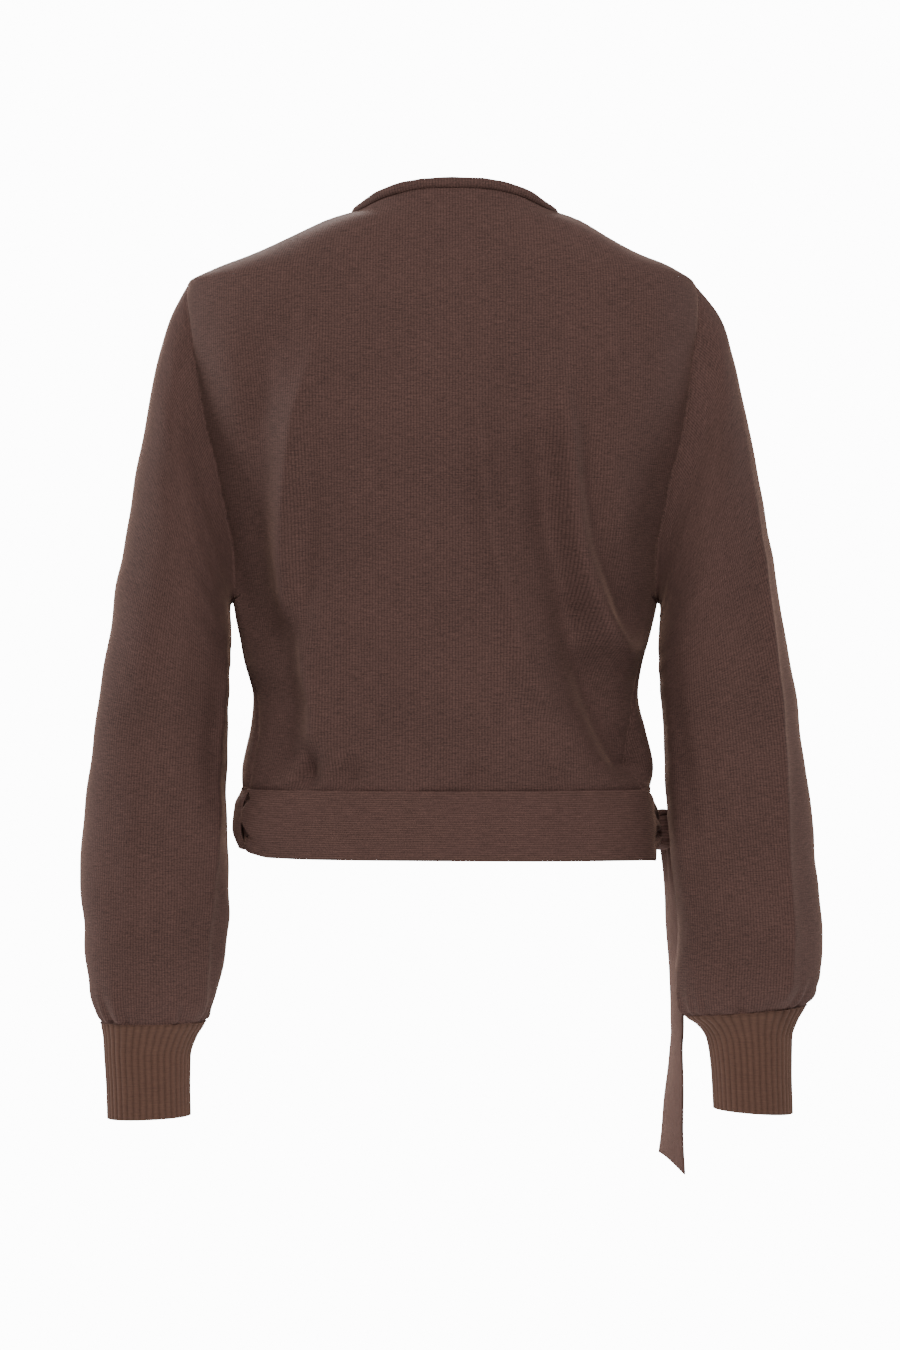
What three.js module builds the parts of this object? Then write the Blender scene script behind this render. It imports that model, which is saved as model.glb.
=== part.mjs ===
// A wrap cardigan in fine wool knit, filled out as if worn, with no wearer in it.
// Millimetres, +Z up. The front faces -Y, so +X is the garment's own left side.
// The origin lies on the body's middle line, level with the two points where the shoulder seams
// meet the neck.
// Every piece of cloth is a thin closed wall, and neighbours stop just short of each other at a seam.

import * as THREE from "three";

// Cloth and seams
const WALL = 1.5; // thickness of the knit
const SEAM_GAP = 0.3; // between two pieces that are sewn together
const SEAM_PULL = 0.19; // how far each side is drawn back, a little over half as the sides slant
const LAYER = 3; // from the face of a layer to the face of the layer that lies on it

// Main levels, as distances below the shoulder-neck points
const SHOULDER_TIP = 52;
const ARMPIT = 292;
const BELT_TOP = 430;
const HEM = 480;

// Armhole, neck and front edges
const ARMHOLE_HALF_DEPTH = 52;
const NECK_RISE = 14; // the back neck stands this far above the shoulder-neck points
const NECK_RISE_POWER = 2.4;
const WRAP_REACH = 132; // how far past the middle a front edge has gone when it meets the belt
const WRAP_POWER = 1.5;
const SIDE_SEAM_TURN = 13.8; // how far behind the side the seam lies at the hem, in degrees
const SLIT_HALF_TURN = 1.9; // half the width of the slit in the left side seam, in degrees
const MOST_MITRE = 1.6; // at the armpit the cloth turns sharply, and its mitre is cut short
const SIDE_FLATNESS = 2.3; // 2 is an ellipse, more is squarer

// Rolled edge of the neck and the fronts
const ROLL = { halfHeight: 3.2, halfThickness: 2.2, sides: 8, trim: 0.014 };

// Cuff ribs and gathers
const RIBS = 40;
const RIB_HEIGHT = 0.45;
const GATHERS = 12;
const GATHER_HEIGHT = 1.2;

// How finely each direction is divided
const ARMHOLE_STEPS = 12;
const SIDE_STEPS = 9;
const BELT_STEPS = 3;
const SHOULDER_STEPS = 6;
const NECK_STEPS = 16;
const OVER_FRONT_STEPS = 18;
const UNDER_FRONT_STEPS = 14;

// The body's cross-section at each level: half-width on each side, depth to the back and to the front
const BODY = [
  { down: -20, left: 63, right: 72, back: 55, front: 30 },
  { down: 0, left: 69, right: 79, back: 64, front: 32 },
  { down: 7.5, left: 91, right: 98, back: 70, front: 35 },
  { down: 27.5, left: 138, right: 136.5, back: 82, front: 46 },
  { down: 45, left: 180, right: 174, back: 92, front: 59 },
  { down: 52, left: 195, right: 184.5, back: 94, front: 62 },
  { down: 70, left: 199, right: 191, back: 101, front: 72 },
  { down: 100, left: 199, right: 193, back: 109, front: 86 },
  { down: 150, left: 195, right: 190, back: 115, front: 106 },
  { down: 200, left: 184, right: 179.5, back: 114, front: 121 },
  { down: 250, left: 169.5, right: 166, back: 109, front: 118 },
  { down: 292, left: 161.3, right: 157.3, back: 104, front: 108 },
  { down: 305, left: 159.2, right: 154.6, back: 102, front: 105 },
  { down: 335, left: 152.6, right: 146.5, back: 98, front: 100 },
  { down: 362, left: 146, right: 142.5, back: 96, front: 97 },
  { down: 385, left: 147.5, right: 147.5, back: 96, front: 96 },
  { down: 416, left: 154.5, right: 153.5, back: 98, front: 98 },
  { down: 430, left: 155, right: 152, back: 94, front: 94 },
  { down: 442, left: 160, right: 151.5, back: 91, front: 94 },
  { down: 460, left: 161.5, right: 152, back: 91, front: 94 },
  { down: 474, left: 157, right: 152, back: 91, front: 94 },
  { down: 482, left: 153, right: 152, back: 91, front: 94 },
];

// Folds of the back, each a soft ridge (positive height) or trough (negative) along a bowed line
const BACK_FOLDS = [
  { x0: 138, down0: 80, x1: 148, down1: 350, bow: 6, width: 20, height: -5 },
  { x0: 96, down0: 100, x1: 142, down1: 330, bow: 2, width: 18, height: 4 },
  { x0: 100, down0: 175, x1: 106, down1: 430, bow: 5, width: 18, height: -4.5 },
  { x0: -76, down0: 135, x1: -142, down1: 365, bow: 3, width: 18, height: 4.5 },
  { x0: -66, down0: 185, x1: -106, down1: 320, bow: 2, width: 18, height: -4 },
  { x0: -134, down0: 215, x1: -146, down1: 365, bow: 2, width: 18, height: -5 },
  { x0: -18, down0: 130, x1: -142, down1: 440, bow: 15, width: 22, height: 3.5 },
  { x0: -86, down0: 300, x1: -152, down1: 440, bow: 3, width: 18, height: -10 },
  { x0: 92, down0: 372, x1: 115, down1: 440, bow: -2, width: 16, height: -6 },
];

// Folds of the over front, which fan out from the knot
const FRONT_FOLDS = [
  { x0: -128, down0: 436, x1: 20, down1: 236, bow: 10, width: 13, height: 4 },
  { x0: -118, down0: 440, x1: 70, down1: 290, bow: 12, width: 12, height: 4.5 },
  { x0: -100, down0: 440, x1: 112, down1: 345, bow: 9, width: 12, height: 4 },
  { x0: -70, down0: 446, x1: 120, down1: 405, bow: 5, width: 11, height: 3 },
];

// Rings of each sleeve from the armhole to the cuff's edge: the outer and the inner point as seen
// from behind, then the middle and the half-depth from back to front. The cuff starts at CUFF_ROW.
const CUFF_ROW = 15;
const LEFT_SLEEVE = [
  { outX: 195, outDown: 52, inX: 161.3, inDown: 292, middle: 0, half: 52 },
  { outX: 208.5, outDown: 79, inX: 162.9, inDown: 294.5, middle: 0, half: 55 },
  { outX: 217.5, outDown: 109, inX: 163.3, inDown: 298, middle: 0, half: 57 },
  { outX: 226.5, outDown: 154, inX: 163, inDown: 306, middle: -1, half: 58 },
  { outX: 234.8, outDown: 199, inX: 162.5, inDown: 317, middle: -2, half: 58 },
  { outX: 242.3, outDown: 244, inX: 163.5, inDown: 331, middle: -4, half: 58 },
  { outX: 249.5, outDown: 282, inX: 164.2, inDown: 347, middle: -6, half: 57 },
  { outX: 257.7, outDown: 333, inX: 165.5, inDown: 370, middle: -8, half: 56 },
  { outX: 265.6, outDown: 383, inX: 166.5, inDown: 398, middle: -10, half: 55 },
  { outX: 271.1, outDown: 428, inX: 166.2, inDown: 432, middle: -12, half: 54 },
  { outX: 275, outDown: 470, inX: 165.8, inDown: 470, middle: -14, half: 53 },
  { outX: 276.7, outDown: 508, inX: 165.7, inDown: 508, middle: -16, half: 52 },
  { outX: 276.1, outDown: 542, inX: 167.9, inDown: 542, middle: -18, half: 50 },
  { outX: 271.8, outDown: 576, inX: 172.9, inDown: 576, middle: -20, half: 46 },
  { outX: 266.4, outDown: 598, inX: 178.7, inDown: 597, middle: -21, half: 41 },
  { outX: 262.4, outDown: 608, inX: 182.8, inDown: 607, middle: -22, half: 37 },
  { outX: 260, outDown: 618.5, inX: 190.4, inDown: 619, middle: -22.5, half: 32 },
  { outX: 259.2, outDown: 633, inX: 195, inDown: 634, middle: -23, half: 28.5 },
  { outX: 257.7, outDown: 657, inX: 195.4, inDown: 656, middle: -23.5, half: 27 },
  { outX: 257, outDown: 680.5, inX: 195, inDown: 678, middle: -24, half: 26.5 },
];
const RIGHT_SLEEVE = [
  { outX: 184.5, outDown: 52, inX: 157.3, inDown: 292, middle: 0, half: 52 },
  { outX: 204.5, outDown: 79, inX: 158.9, inDown: 294.5, middle: 0, half: 55 },
  { outX: 214, outDown: 109, inX: 159.2, inDown: 298, middle: 0, half: 57 },
  { outX: 224.2, outDown: 154, inX: 158.6, inDown: 306, middle: 0, half: 58 },
  { outX: 233, outDown: 199, inX: 157.8, inDown: 317, middle: 1, half: 58 },
  { outX: 240.8, outDown: 244, inX: 157.6, inDown: 331, middle: 2, half: 58 },
  { outX: 247.3, outDown: 282, inX: 158.4, inDown: 347, middle: 3, half: 57 },
  { outX: 255.7, outDown: 333, inX: 159.7, inDown: 370, middle: 4, half: 56 },
  { outX: 263.6, outDown: 383, inX: 161.6, inDown: 398, middle: 5, half: 55 },
  { outX: 269.2, outDown: 428, inX: 163.1, inDown: 432, middle: 5, half: 54 },
  { outX: 273.3, outDown: 469, inX: 165.5, inDown: 469, middle: 5, half: 53 },
  { outX: 276.4, outDown: 507, inX: 168.5, inDown: 507, middle: 4, half: 52 },
  { outX: 279, outDown: 545, inX: 170.6, inDown: 543, middle: 2, half: 50 },
  { outX: 278.2, outDown: 570, inX: 170.2, inDown: 573, middle: 0, half: 47 },
  { outX: 275.4, outDown: 584, inX: 172.1, inDown: 591, middle: -2, half: 43 },
  { outX: 269.4, outDown: 593, inX: 177.2, inDown: 601, middle: -4, half: 38 },
  { outX: 262.1, outDown: 605, inX: 187, inDown: 607.5, middle: -5, half: 33 },
  { outX: 258.1, outDown: 618.5, inX: 194.6, inDown: 618.5, middle: -6, half: 29 },
  { outX: 257.8, outDown: 643, inX: 198.1, inDown: 640, middle: -7, half: 27 },
  { outX: 258.7, outDown: 675, inX: 200, inDown: 671, middle: -8, half: 26.5 },
];

// The pressed fold down each sleeve: how far round the ring it lies from the outer point, in degrees
const SLEEVE_RIDGES = {
  left: { turn: 152, width: 16, height: 3 },
  right: { turn: 38, width: 15, height: 4 },
};

// The belt that comes out of the slit, crosses the back and reaches the knot. Turn is degrees round
// the body from the left side over the back, lift is the distance of its face from the body's, and
// cuts is how often the strip is divided before the next row.
const BELT = [
  { turn: 12, top: 439, bottom: 470, lift: -3.2, cuts: 2 },
  { turn: 13.8, top: 438, bottom: 471, lift: 0, cuts: 2 },
  { turn: 15.2, top: 436.5, bottom: 472, lift: 3.2, cuts: 2 },
  { turn: 18, top: 434, bottom: 474, lift: 3.6, cuts: 2 },
  { turn: 24, top: 431, bottom: 478.5, lift: 3.4, cuts: 4 },
  { turn: 40, top: 430.5, bottom: 481, lift: 3, cuts: 9 },
  { turn: 90, top: 430.5, bottom: 481.5, lift: 3, cuts: 10 },
  { turn: 150, top: 430.5, bottom: 482, lift: 3, cuts: 5 },
  { turn: 172, top: 432, bottom: 482.5, lift: 3.2, cuts: 3 },
  { turn: 181, top: 438, bottom: 479, lift: 5, cuts: 2 },
  { turn: 186, top: 446, bottom: 471, lift: 8.5, cuts: 2 },
  { turn: 190.75, top: 455, bottom: 468, lift: 13.2, cuts: 0 },
];

// The band along the over front's hem, from the left side seam to the knot
const OVER_BAND = [
  { turn: 12.3, top: 430.4, bottom: 471, lift: 0, cuts: 3 },
  { turn: 2, top: 430.4, bottom: 474, lift: 0, cuts: 3 },
  { turn: -14, top: 430.4, bottom: 479, lift: 0.4, cuts: 6 },
  { turn: -50, top: 430.4, bottom: 481, lift: 3, cuts: 10 },
  { turn: -120, top: 430.4, bottom: 481, lift: 3, cuts: 3 },
  { turn: -140, top: 430.4, bottom: 480, lift: 3.6, cuts: 3 },
  { turn: -152, top: 436, bottom: 476, lift: 7, cuts: 3 },
  { turn: -161.5, top: 450.5, bottom: 469.5, lift: 13, cuts: 0 },
];

// The band along the under front's hem, from the right side seam to the inside of the slit
const UNDER_BAND = [
  { turn: -193.6, top: 430.4, bottom: 480, lift: 0, cuts: 10 },
  { turn: -130, top: 430.4, bottom: 480, lift: 0, cuts: 10 },
  { turn: -50, top: 430.4, bottom: 480, lift: 0, cuts: 5 },
  { turn: -14, top: 433, bottom: 476, lift: -2.6, cuts: 3 },
  { turn: 4, top: 437, bottom: 471, lift: -3.2, cuts: 3 },
  { turn: 11.85, top: 439, bottom: 470, lift: -3.4, cuts: 0 },
];

// Knot of the two ties, and the two ends that hang from it
const KNOT = { x: -162, y: -47, down: 462, along: 14, around: 15, high: 17 };
const LONG_TAIL = [
  { down: 480.1, x: -164.5, y: -51, width: 20, turn: 11 },
  { down: 496, x: -169, y: -56, width: 36, turn: 10 },
  { down: 518, x: -171, y: -56, width: 44, turn: 9.5 },
  { down: 548, x: -172.5, y: -56, width: 46, turn: 9.5 },
  { down: 579, x: -173.8, y: -56, width: 46, turn: 9.5 },
  { down: 609, x: -174.2, y: -56, width: 46, turn: 9.3 },
  { down: 625, x: -174, y: -56, width: 46, turn: 7.5 },
  { down: 640, x: -173.4, y: -56, width: 46, turn: 9.3 },
  { down: 670, x: -172.2, y: -56, width: 46, turn: 13 },
  { down: 701, x: -170.8, y: -56, width: 46, turn: 17.5 },
  { down: 718.5, x: -170.3, y: -56, width: 46, turn: 21.5 },
];
const SHORT_TAIL = [
  { down: 474, x: -171, y: -58, width: 18, turn: 8 },
  { down: 494, x: -177, y: -69, width: 34, turn: 4 },
  { down: 530, x: -180.5, y: -73, width: 44, turn: 3 },
  { down: 582, x: -181.5, y: -73, width: 46, turn: 4 },
];
const TAIL_STEPS = 16;
const TAIL_SLANT = 6; // how much lower the back corner of a tie's end hangs

// Colour and surface of the knit, and the warmer, slightly rougher ribbed cuffs
const KNIT = { color: 0x4d342c, roughness: 0.92, metalness: 0 };
const RIB_KNIT = { color: 0x543a2f, roughness: 0.95, metalness: 0 };

const radians = THREE.MathUtils.degToRad;
const smooth = (from, to, at) => THREE.MathUtils.smoothstep((at - from) / (to - from), 0, 1);
const mix = THREE.MathUtils.lerp;

// A curve through one column of a table that never overshoots its rows (monotone cubic)
function column(table, by, key) {
  const x = table.map((row, i) => (by ? row[by] : i));
  const y = table.map((row) => row[key]);
  const slope = y.slice(1).map((v, i) => (v - y[i]) / (x[i + 1] - x[i]));
  const tangent = y.map((_, i) => {
    if (i === 0) return slope[0];
    if (i === y.length - 1) return slope[i - 1];
    const before = slope[i - 1];
    const after = slope[i];
    return before * after <= 0 ? 0 : (2 * before * after) / (before + after);
  });
  const rising = x[1] > x[0];
  return (at) => {
    let i = 0;
    while (i < x.length - 2 && (rising ? at > x[i + 1] : at < x[i + 1])) i++;
    const step = x[i + 1] - x[i];
    const t = THREE.MathUtils.clamp((at - x[i]) / step, 0, 1);
    const t2 = t * t;
    const t3 = t2 * t;
    return (
      (2 * t3 - 3 * t2 + 1) * y[i] +
      (t3 - 2 * t2 + t) * step * tangent[i] +
      (3 * t2 - 2 * t3) * y[i + 1] +
      (t3 - t2) * step * tangent[i + 1]
    );
  };
}

// Every column of a table as a curve, by name
function columns(table, by) {
  const keys = Object.keys(table[0]).filter((key) => key !== by);
  return Object.fromEntries(keys.map((key) => [key, column(table, by, key)]));
}

const body = columns(BODY, "down");

// Height of all the given folds at a place seen flat from behind or from the front
function foldHeight(folds, x, down) {
  let sum = 0;
  for (const fold of folds) {
    const dx = fold.x1 - fold.x0;
    const dd = fold.down1 - fold.down0;
    const length = Math.hypot(dx, dd);
    const along = ((x - fold.x0) * dx + (down - fold.down0) * dd) / (length * length);
    if (along <= 0 || along >= 1) continue;
    const across = ((x - fold.x0) * dd - (down - fold.down0) * dx) / length;
    const off = (across - fold.bow * 4 * along * (1 - along)) / fold.width;
    sum += fold.height * Math.exp(-off * off) * Math.sin(Math.PI * along) ** 0.7;
  }
  return sum;
}

// A point of the body's plain form. Turn goes round it in degrees: 0 is the left side, 90 the
// middle of the back, 180 the right side, and -90 or 270 the middle of the front.
function plainPoint(turn, down) {
  const c = Math.cos(radians(turn));
  const s = Math.sin(radians(turn));
  const across = c > 0 ? body.left(down) : body.right(down);
  const deep = s > 0 ? body.back(down) : body.front(down);
  const n = SIDE_FLATNESS;
  const r = ((Math.abs(c) / across) ** n + (Math.abs(s) / deep) ** n) ** (-1 / n);
  return new THREE.Vector3(r * c, r * s, -down);
}

// The outward normal of a surface given as a function of two parameters
function normalOf(surface, a, b, stepA, stepB) {
  const da = surface(a + stepA, b).sub(surface(a - stepA, b));
  const db = surface(a, b + stepB).sub(surface(a, b - stepB));
  return da.cross(db).normalize();
}

const plainNormal = (turn, down) => normalOf(plainPoint, turn, down, 0.2, 0.5).negate();

// A point of the body with the folds of its back, and of its over front where they are wanted
function bodyPoint(turn, down, lift = 0, front = false) {
  const p = plainPoint(turn, down);
  const folds = p.y > 0 ? BACK_FOLDS : front ? FRONT_FOLDS : [];
  const height = lift + foldHeight(folds, p.x, down) * smooth(0, 30, Math.abs(p.y));
  return height === 0 ? p : p.addScaledVector(plainNormal(turn, down), height);
}

// The turn at which the body's form reaches a given x at a level, on its front
function frontTurn(x, down) {
  const n = SIDE_FLATNESS;
  const across = x > 0 ? body.left(down) : body.right(down);
  const share = Math.min(1, Math.abs(x) / across);
  const y = body.front(down) * (1 - share ** n) ** (1 / n);
  const turn = -THREE.MathUtils.radToDeg(Math.atan2(y, Math.abs(x)));
  return x > 0 ? turn : -180 - turn;
}

// The side seam lies behind the side, more so towards the hem
const seamTurn = (down) => SIDE_SEAM_TURN * smooth(ARMPIT, BELT_TOP, down);

// A front edge of the garment's left front; the right front mirrors it
function wrapEdgeX(down, hasLeft) {
  const neck = hasLeft ? body.left(0) : body.right(0);
  return neck - (neck + WRAP_REACH) * (down / BELT_TOP) ** WRAP_POWER;
}

// The level of a front edge at a share of the way up it
const wrapEdgeDown = (up) => BELT_TOP * (1 - up ** 0.9);

// How far the over front stands off the body: sewn down at the left seam, then one layer out
const overLift = (turn) => LAYER * smooth(-18, -50, turn);
const underLift = (turn) => overLift(turn) - LAYER;

// Sleeve and cuff as one surface. Row counts the table's rows and turn goes round from the outer
// point over the back. Near the armhole the rings take on the armhole's real curve.
function sleeveSurface(isLeft) {
  const ring = columns(isLeft ? LEFT_SLEEVE : RIGHT_SLEEVE);
  const side = isLeft ? 1 : -1;
  const ridge = isLeft ? SLEEVE_RIDGES.left : SLEEVE_RIDGES.right;
  const blendRows = 4;
  const onEllipse = (row, turn) => {
    const c = Math.cos(radians(turn));
    const s = Math.sin(radians(turn));
    const x = mix(ring.inX(row), ring.outX(row), (1 + c) / 2);
    const down = mix(ring.inDown(row), ring.outDown(row), (1 + c) / 2);
    return new THREE.Vector3(side * x, ring.middle(row) + ring.half(row) * s, -down);
  };
  const centre = (row) => onEllipse(row, 0).add(onEllipse(row, 180)).multiplyScalar(0.5);
  return (row, turn) => {
    const p = onEllipse(Math.max(row, 0), turn);
    const share = 1 - smooth(0, blendRows, row);
    if (share > 0) {
      p.addScaledVector(armholePoint(isLeft, turn).sub(onEllipse(0, turn)), share);
    }
    const out = p.clone().sub(centre(Math.max(row, 0))).normalize();
    const away = ((((turn - ridge.turn + 180) % 360) + 360) % 360) - 180;
    const pressed = smooth(2, 7, row) * (1 - smooth(CUFF_ROW - 1.5, CUFF_ROW, row));
    const gathered = smooth(CUFF_ROW - 3, CUFF_ROW - 0.8, row);
    const loose = 1 - smooth(CUFF_ROW - 0.8, CUFF_ROW, row);
    p.addScaledVector(out, ridge.height * pressed * Math.exp(-((away / ridge.width) ** 2)));
    const wave = Math.cos(radians(GATHERS * turn));
    return p.addScaledVector(out, GATHER_HEIGHT * gathered * loose * wave);
  };
}

// A point of the armhole's edge on the body. Turn 0 is the shoulder tip, 90 the back, 180 the armpit.
function armholePlace(isLeft, turn) {
  const half = (ARMPIT - SHOULDER_TIP) / 2;
  const down = SHOULDER_TIP + half - half * Math.cos(radians(turn));
  const y = ARMHOLE_HALF_DEPTH * Math.sin(radians(turn));
  const across = isLeft ? body.left(down) : body.right(down);
  const deep = y > 0 ? body.back(down) : body.front(down);
  const n = SIDE_FLATNESS;
  const x = across * (1 - (Math.abs(y) / deep) ** n) ** (1 / n);
  const bodyTurn = THREE.MathUtils.radToDeg(Math.atan2(y, isLeft ? x : -x));
  return { down, turn: bodyTurn };
}

function armholePoint(isLeft, turn) {
  const at = armholePlace(isLeft, turn);
  return bodyPoint(at.turn, at.down);
}

// The way through the wall at the armhole seam, shared by the sleeve and the panels. It is longer
// than a unit where the two meet at an angle, so that the cloth keeps its thickness there.
function armholeMitre(isLeft, turn) {
  const at = armholePlace(isLeft, turn);
  const sleeve = isLeft ? leftSleeve : rightSleeve;
  const ofBody = plainNormal(at.turn, at.down);
  const middle = sleeveNormal(sleeve, isLeft, 0.05, turn).add(ofBody).normalize();
  return middle.multiplyScalar(Math.min(MOST_MITRE, 1 / middle.dot(ofBody)));
}

function sleeveNormal(surface, isLeft, row, turn) {
  const n = normalOf(surface, row, turn, 0.04, 2);
  return isLeft ? n : n.negate();
}

const leftSleeve = sleeveSurface(true);
const rightSleeve = sleeveSurface(false);

// A closed wall from a grid of cells that hold a face point and the way out of the cloth
function clothWall(grid, ringed = false) {
  const rows = grid.length;
  const cells = grid[0].length;
  const flat = grid.flat();
  const count = flat.length;
  const backOf = (cell) => cell.back ?? cell.point.clone().addScaledVector(cell.out, -WALL);
  const points = [...flat.map((cell) => cell.point), ...flat.map(backOf)];
  const at = (i, j) => i * cells + (ringed ? j % cells : j);
  const index = [];
  const quad = ([a, b, c, d]) => index.push(a, b, c, a, c, d);
  const edge = (a, b) => quad(flatterCut(points, [a, b, count + b, count + a]));
  const last = ringed ? cells : cells - 1;
  for (let i = 0; i < rows - 1; i++) {
    for (let j = 0; j < last; j++) {
      const corners = [at(i, j), at(i, j + 1), at(i + 1, j + 1), at(i + 1, j)];
      const [a, b, c, d] = flatterCut(points, corners);
      quad([a, b, c, d]);
      quad([count + a, count + d, count + c, count + b]);
    }
    if (!ringed) {
      edge(at(i, 0), at(i + 1, 0));
      edge(at(i + 1, last), at(i, last));
    }
  }
  for (let j = 0; j < last; j++) {
    edge(at(0, j + 1), at(0, j));
    edge(at(rows - 1, j), at(rows - 1, j + 1));
  }
  return facingOut(points, index);
}

// The corners of a four-sided cell, turned so that the cut from first to third bends it less
function flatterCut(points, corners) {
  const bend = ([a, b, c, d]) => {
    const across = points[c].clone().sub(points[a]);
    const one = points[b].clone().sub(points[a]).cross(across).normalize();
    const two = across.clone().cross(points[d].clone().sub(points[a])).normalize();
    return 1 - one.dot(two);
  };
  const turned = [...corners.slice(1), corners[0]];
  return bend(turned) < bend(corners) ? turned : corners;
}

// A geometry from points and triangles, turned so that its faces point out
function facingOut(points, index) {
  let volume = 0;
  for (let i = 0; i < index.length; i += 3) {
    const [a, b, c] = [points[index[i]], points[index[i + 1]], points[index[i + 2]]];
    volume += a.dot(b.clone().cross(c));
  }
  if (volume < 0) {
    for (let i = 0; i < index.length; i += 3) [index[i], index[i + 1]] = [index[i + 1], index[i]];
  }
  const geometry = new THREE.BufferGeometry().setFromPoints(points);
  geometry.setIndex(index);
  geometry.computeVertexNormals();
  return geometry;
}

// Draws the sewn sides of a grid back into its own cloth, square to each seam, by half a gap
function trimSeams(grid, { bottom, top, start, end }, ringed = false) {
  const last = grid.length - 1;
  const far = grid[0].length - 1;
  const moves = [];
  const drawBack = (cells, inner) => {
    const count = cells.length;
    cells.forEach((cell, k) => {
      const before = ringed ? (k + count - 1) % count : Math.max(0, k - 1);
      const after = ringed ? (k + 1) % count : Math.min(count - 1, k + 1);
      for (const layer of ["point", "back"]) {
        const along = cells[after][layer].clone().sub(cells[before][layer]).normalize();
        const move = inner[k][layer].clone().sub(cell[layer]);
        move.addScaledVector(along, -move.dot(along)).setLength(SEAM_PULL);
        moves.push({ point: cell[layer], move });
      }
    });
  };
  if (bottom) drawBack(grid[0], grid[1]);
  if (top) drawBack(grid[last], grid[last - 1]);
  if (start) drawBack(grid.map((row) => row[0]), grid.map((row) => row[1]));
  if (end) drawBack(grid.map((row) => row[far]), grid.map((row) => row[far - 1]));
  moves.forEach(({ point, move }) => point.add(move));
  return grid;
}

// A cell of a body panel, with the far side of its wall worked out
function bodyCell(turn, down, lift, front, mitre) {
  const surface = (t, d) => bodyPoint(t, d, lift(t), front);
  const point = surface(turn, down);
  const out = mitre ?? normalOf(surface, turn, down, 0.4, 1.5).negate();
  return { point, out, back: point.clone().addScaledVector(out, -WALL) };
}

// The places of a panel's outer side from the hem up the side seam and round the armhole
function sidePlaces(isLeft, isBack, belowBelt) {
  const places = [];
  const toSide = (turn) => (isLeft ? turn : 180 - turn);
  for (let i = 0; i < belowBelt; i++) {
    const down = mix(HEM, BELT_TOP, i / belowBelt);
    const slit = isLeft ? SLIT_HALF_TURN : 0;
    places.push({ turn: toSide(seamTurn(down) + slit), down });
  }
  for (let i = 0; i < SIDE_STEPS; i++) {
    const down = mix(BELT_TOP, ARMPIT, i / SIDE_STEPS);
    places.push({ turn: toSide(seamTurn(down)), down });
  }
  for (let i = 0; i <= ARMHOLE_STEPS; i++) {
    const armTurn = (isBack ? 1 : -1) * 180 * (1 - i / ARMHOLE_STEPS);
    places.push({ ...armholePlace(isLeft, armTurn), mitre: armholeMitre(isLeft, armTurn) });
  }
  return places;
}

// The back panel, one grid from side to side, whose top row runs along both shoulders and the neck
function backPanel() {
  const left = sidePlaces(true, true, BELT_STEPS);
  const right = sidePlaces(false, true, BELT_STEPS);
  const across = 2 * SHOULDER_STEPS + NECK_STEPS;
  const rows = left.length - 1;
  const topPlace = (j) => {
    if (j < SHOULDER_STEPS) return { turn: 0, down: SHOULDER_TIP * (1 - j / SHOULDER_STEPS) };
    if (j > across - SHOULDER_STEPS) {
      return { turn: 180, down: SHOULDER_TIP * (1 - (across - j) / SHOULDER_STEPS) };
    }
    const turn = (180 * (j - SHOULDER_STEPS)) / NECK_STEPS;
    return { turn, down: neckDown(turn) };
  };
  const grid = left.map((leftPlace, i) => {
    const rightPlace = right[i];
    const up = i / rows;
    return Array.from({ length: across + 1 }, (_, j) => {
      const s = j / across;
      if (j === 0) return bodyCell(leftPlace.turn, leftPlace.down, noLift, false, leftPlace.mitre);
      if (j === across) {
        return bodyCell(rightPlace.turn, rightPlace.down, noLift, false, rightPlace.mitre);
      }
      const top = topPlace(j);
      const inside = smooth(0, 0.35, Math.min(s, 1 - s));
      const evenDown = mix(HEM, SHOULDER_TIP, up);
      const sideDown = mix(leftPlace.down, evenDown, inside);
      const lifted = up ** 2.5;
      const turn = mix(leftPlace.turn, rightPlace.turn, s) + lifted * (top.turn - 180 * s);
      return bodyCell(turn, sideDown + lifted * (top.down - SHOULDER_TIP), noLift, false);
    });
  });
  return clothWall(trimSeams(grid, { start: true, end: true, top: true }));
}

const noLift = () => 0;

// The back neckline stands up in the middle and comes down to the shoulder-neck points
function neckDown(turn) {
  const c = Math.abs(Math.cos(radians(turn)));
  const s = Math.sin(radians(turn));
  const n = SIDE_FLATNESS;
  const share = c / (c ** n + (s * (body.left(0) / body.back(0))) ** n) ** (1 / n);
  return -NECK_RISE * (1 - Math.min(1, share) ** NECK_RISE_POWER);
}

// A front panel from its side seam to its wrap edge; isLeft is the over front
function frontPanel(isLeft) {
  const across = isLeft ? OVER_FRONT_STEPS : UNDER_FRONT_STEPS;
  const places = sidePlaces(isLeft, false, 0);
  const rows = places.length - 1;
  const lift = isLeft ? overLift : (turn) => underLift(turn);
  const grid = places.map((outer, i) => {
    const up = i / rows;
    const edgeDown = wrapEdgeDown(up);
    const edgeX = wrapEdgeX(edgeDown, isLeft);
    const innerTurn = isLeft ? frontTurn(edgeX, edgeDown) : frontTurn(-edgeX, edgeDown);
    const outerTurn = isLeft || outer.turn < 0 ? outer.turn : outer.turn - 360;
    return Array.from({ length: across + 1 }, (_, j) => {
      const s = j / across;
      if (j === 0) return bodyCell(outerTurn, outer.down, lift, isLeft, outer.mitre);
      const evenDown = mix(BELT_TOP, SHOULDER_TIP, up);
      const inside = smooth(0, 0.6, s) * (1 - up ** 6);
      const down = mix(mix(outer.down, evenDown, inside), edgeDown, s);
      return bodyCell(mix(outerTurn, innerTurn, s), down, lift, isLeft);
    });
  });
  return clothWall(trimSeams(grid, { start: true, end: true, top: true, bottom: true }));
}

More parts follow.
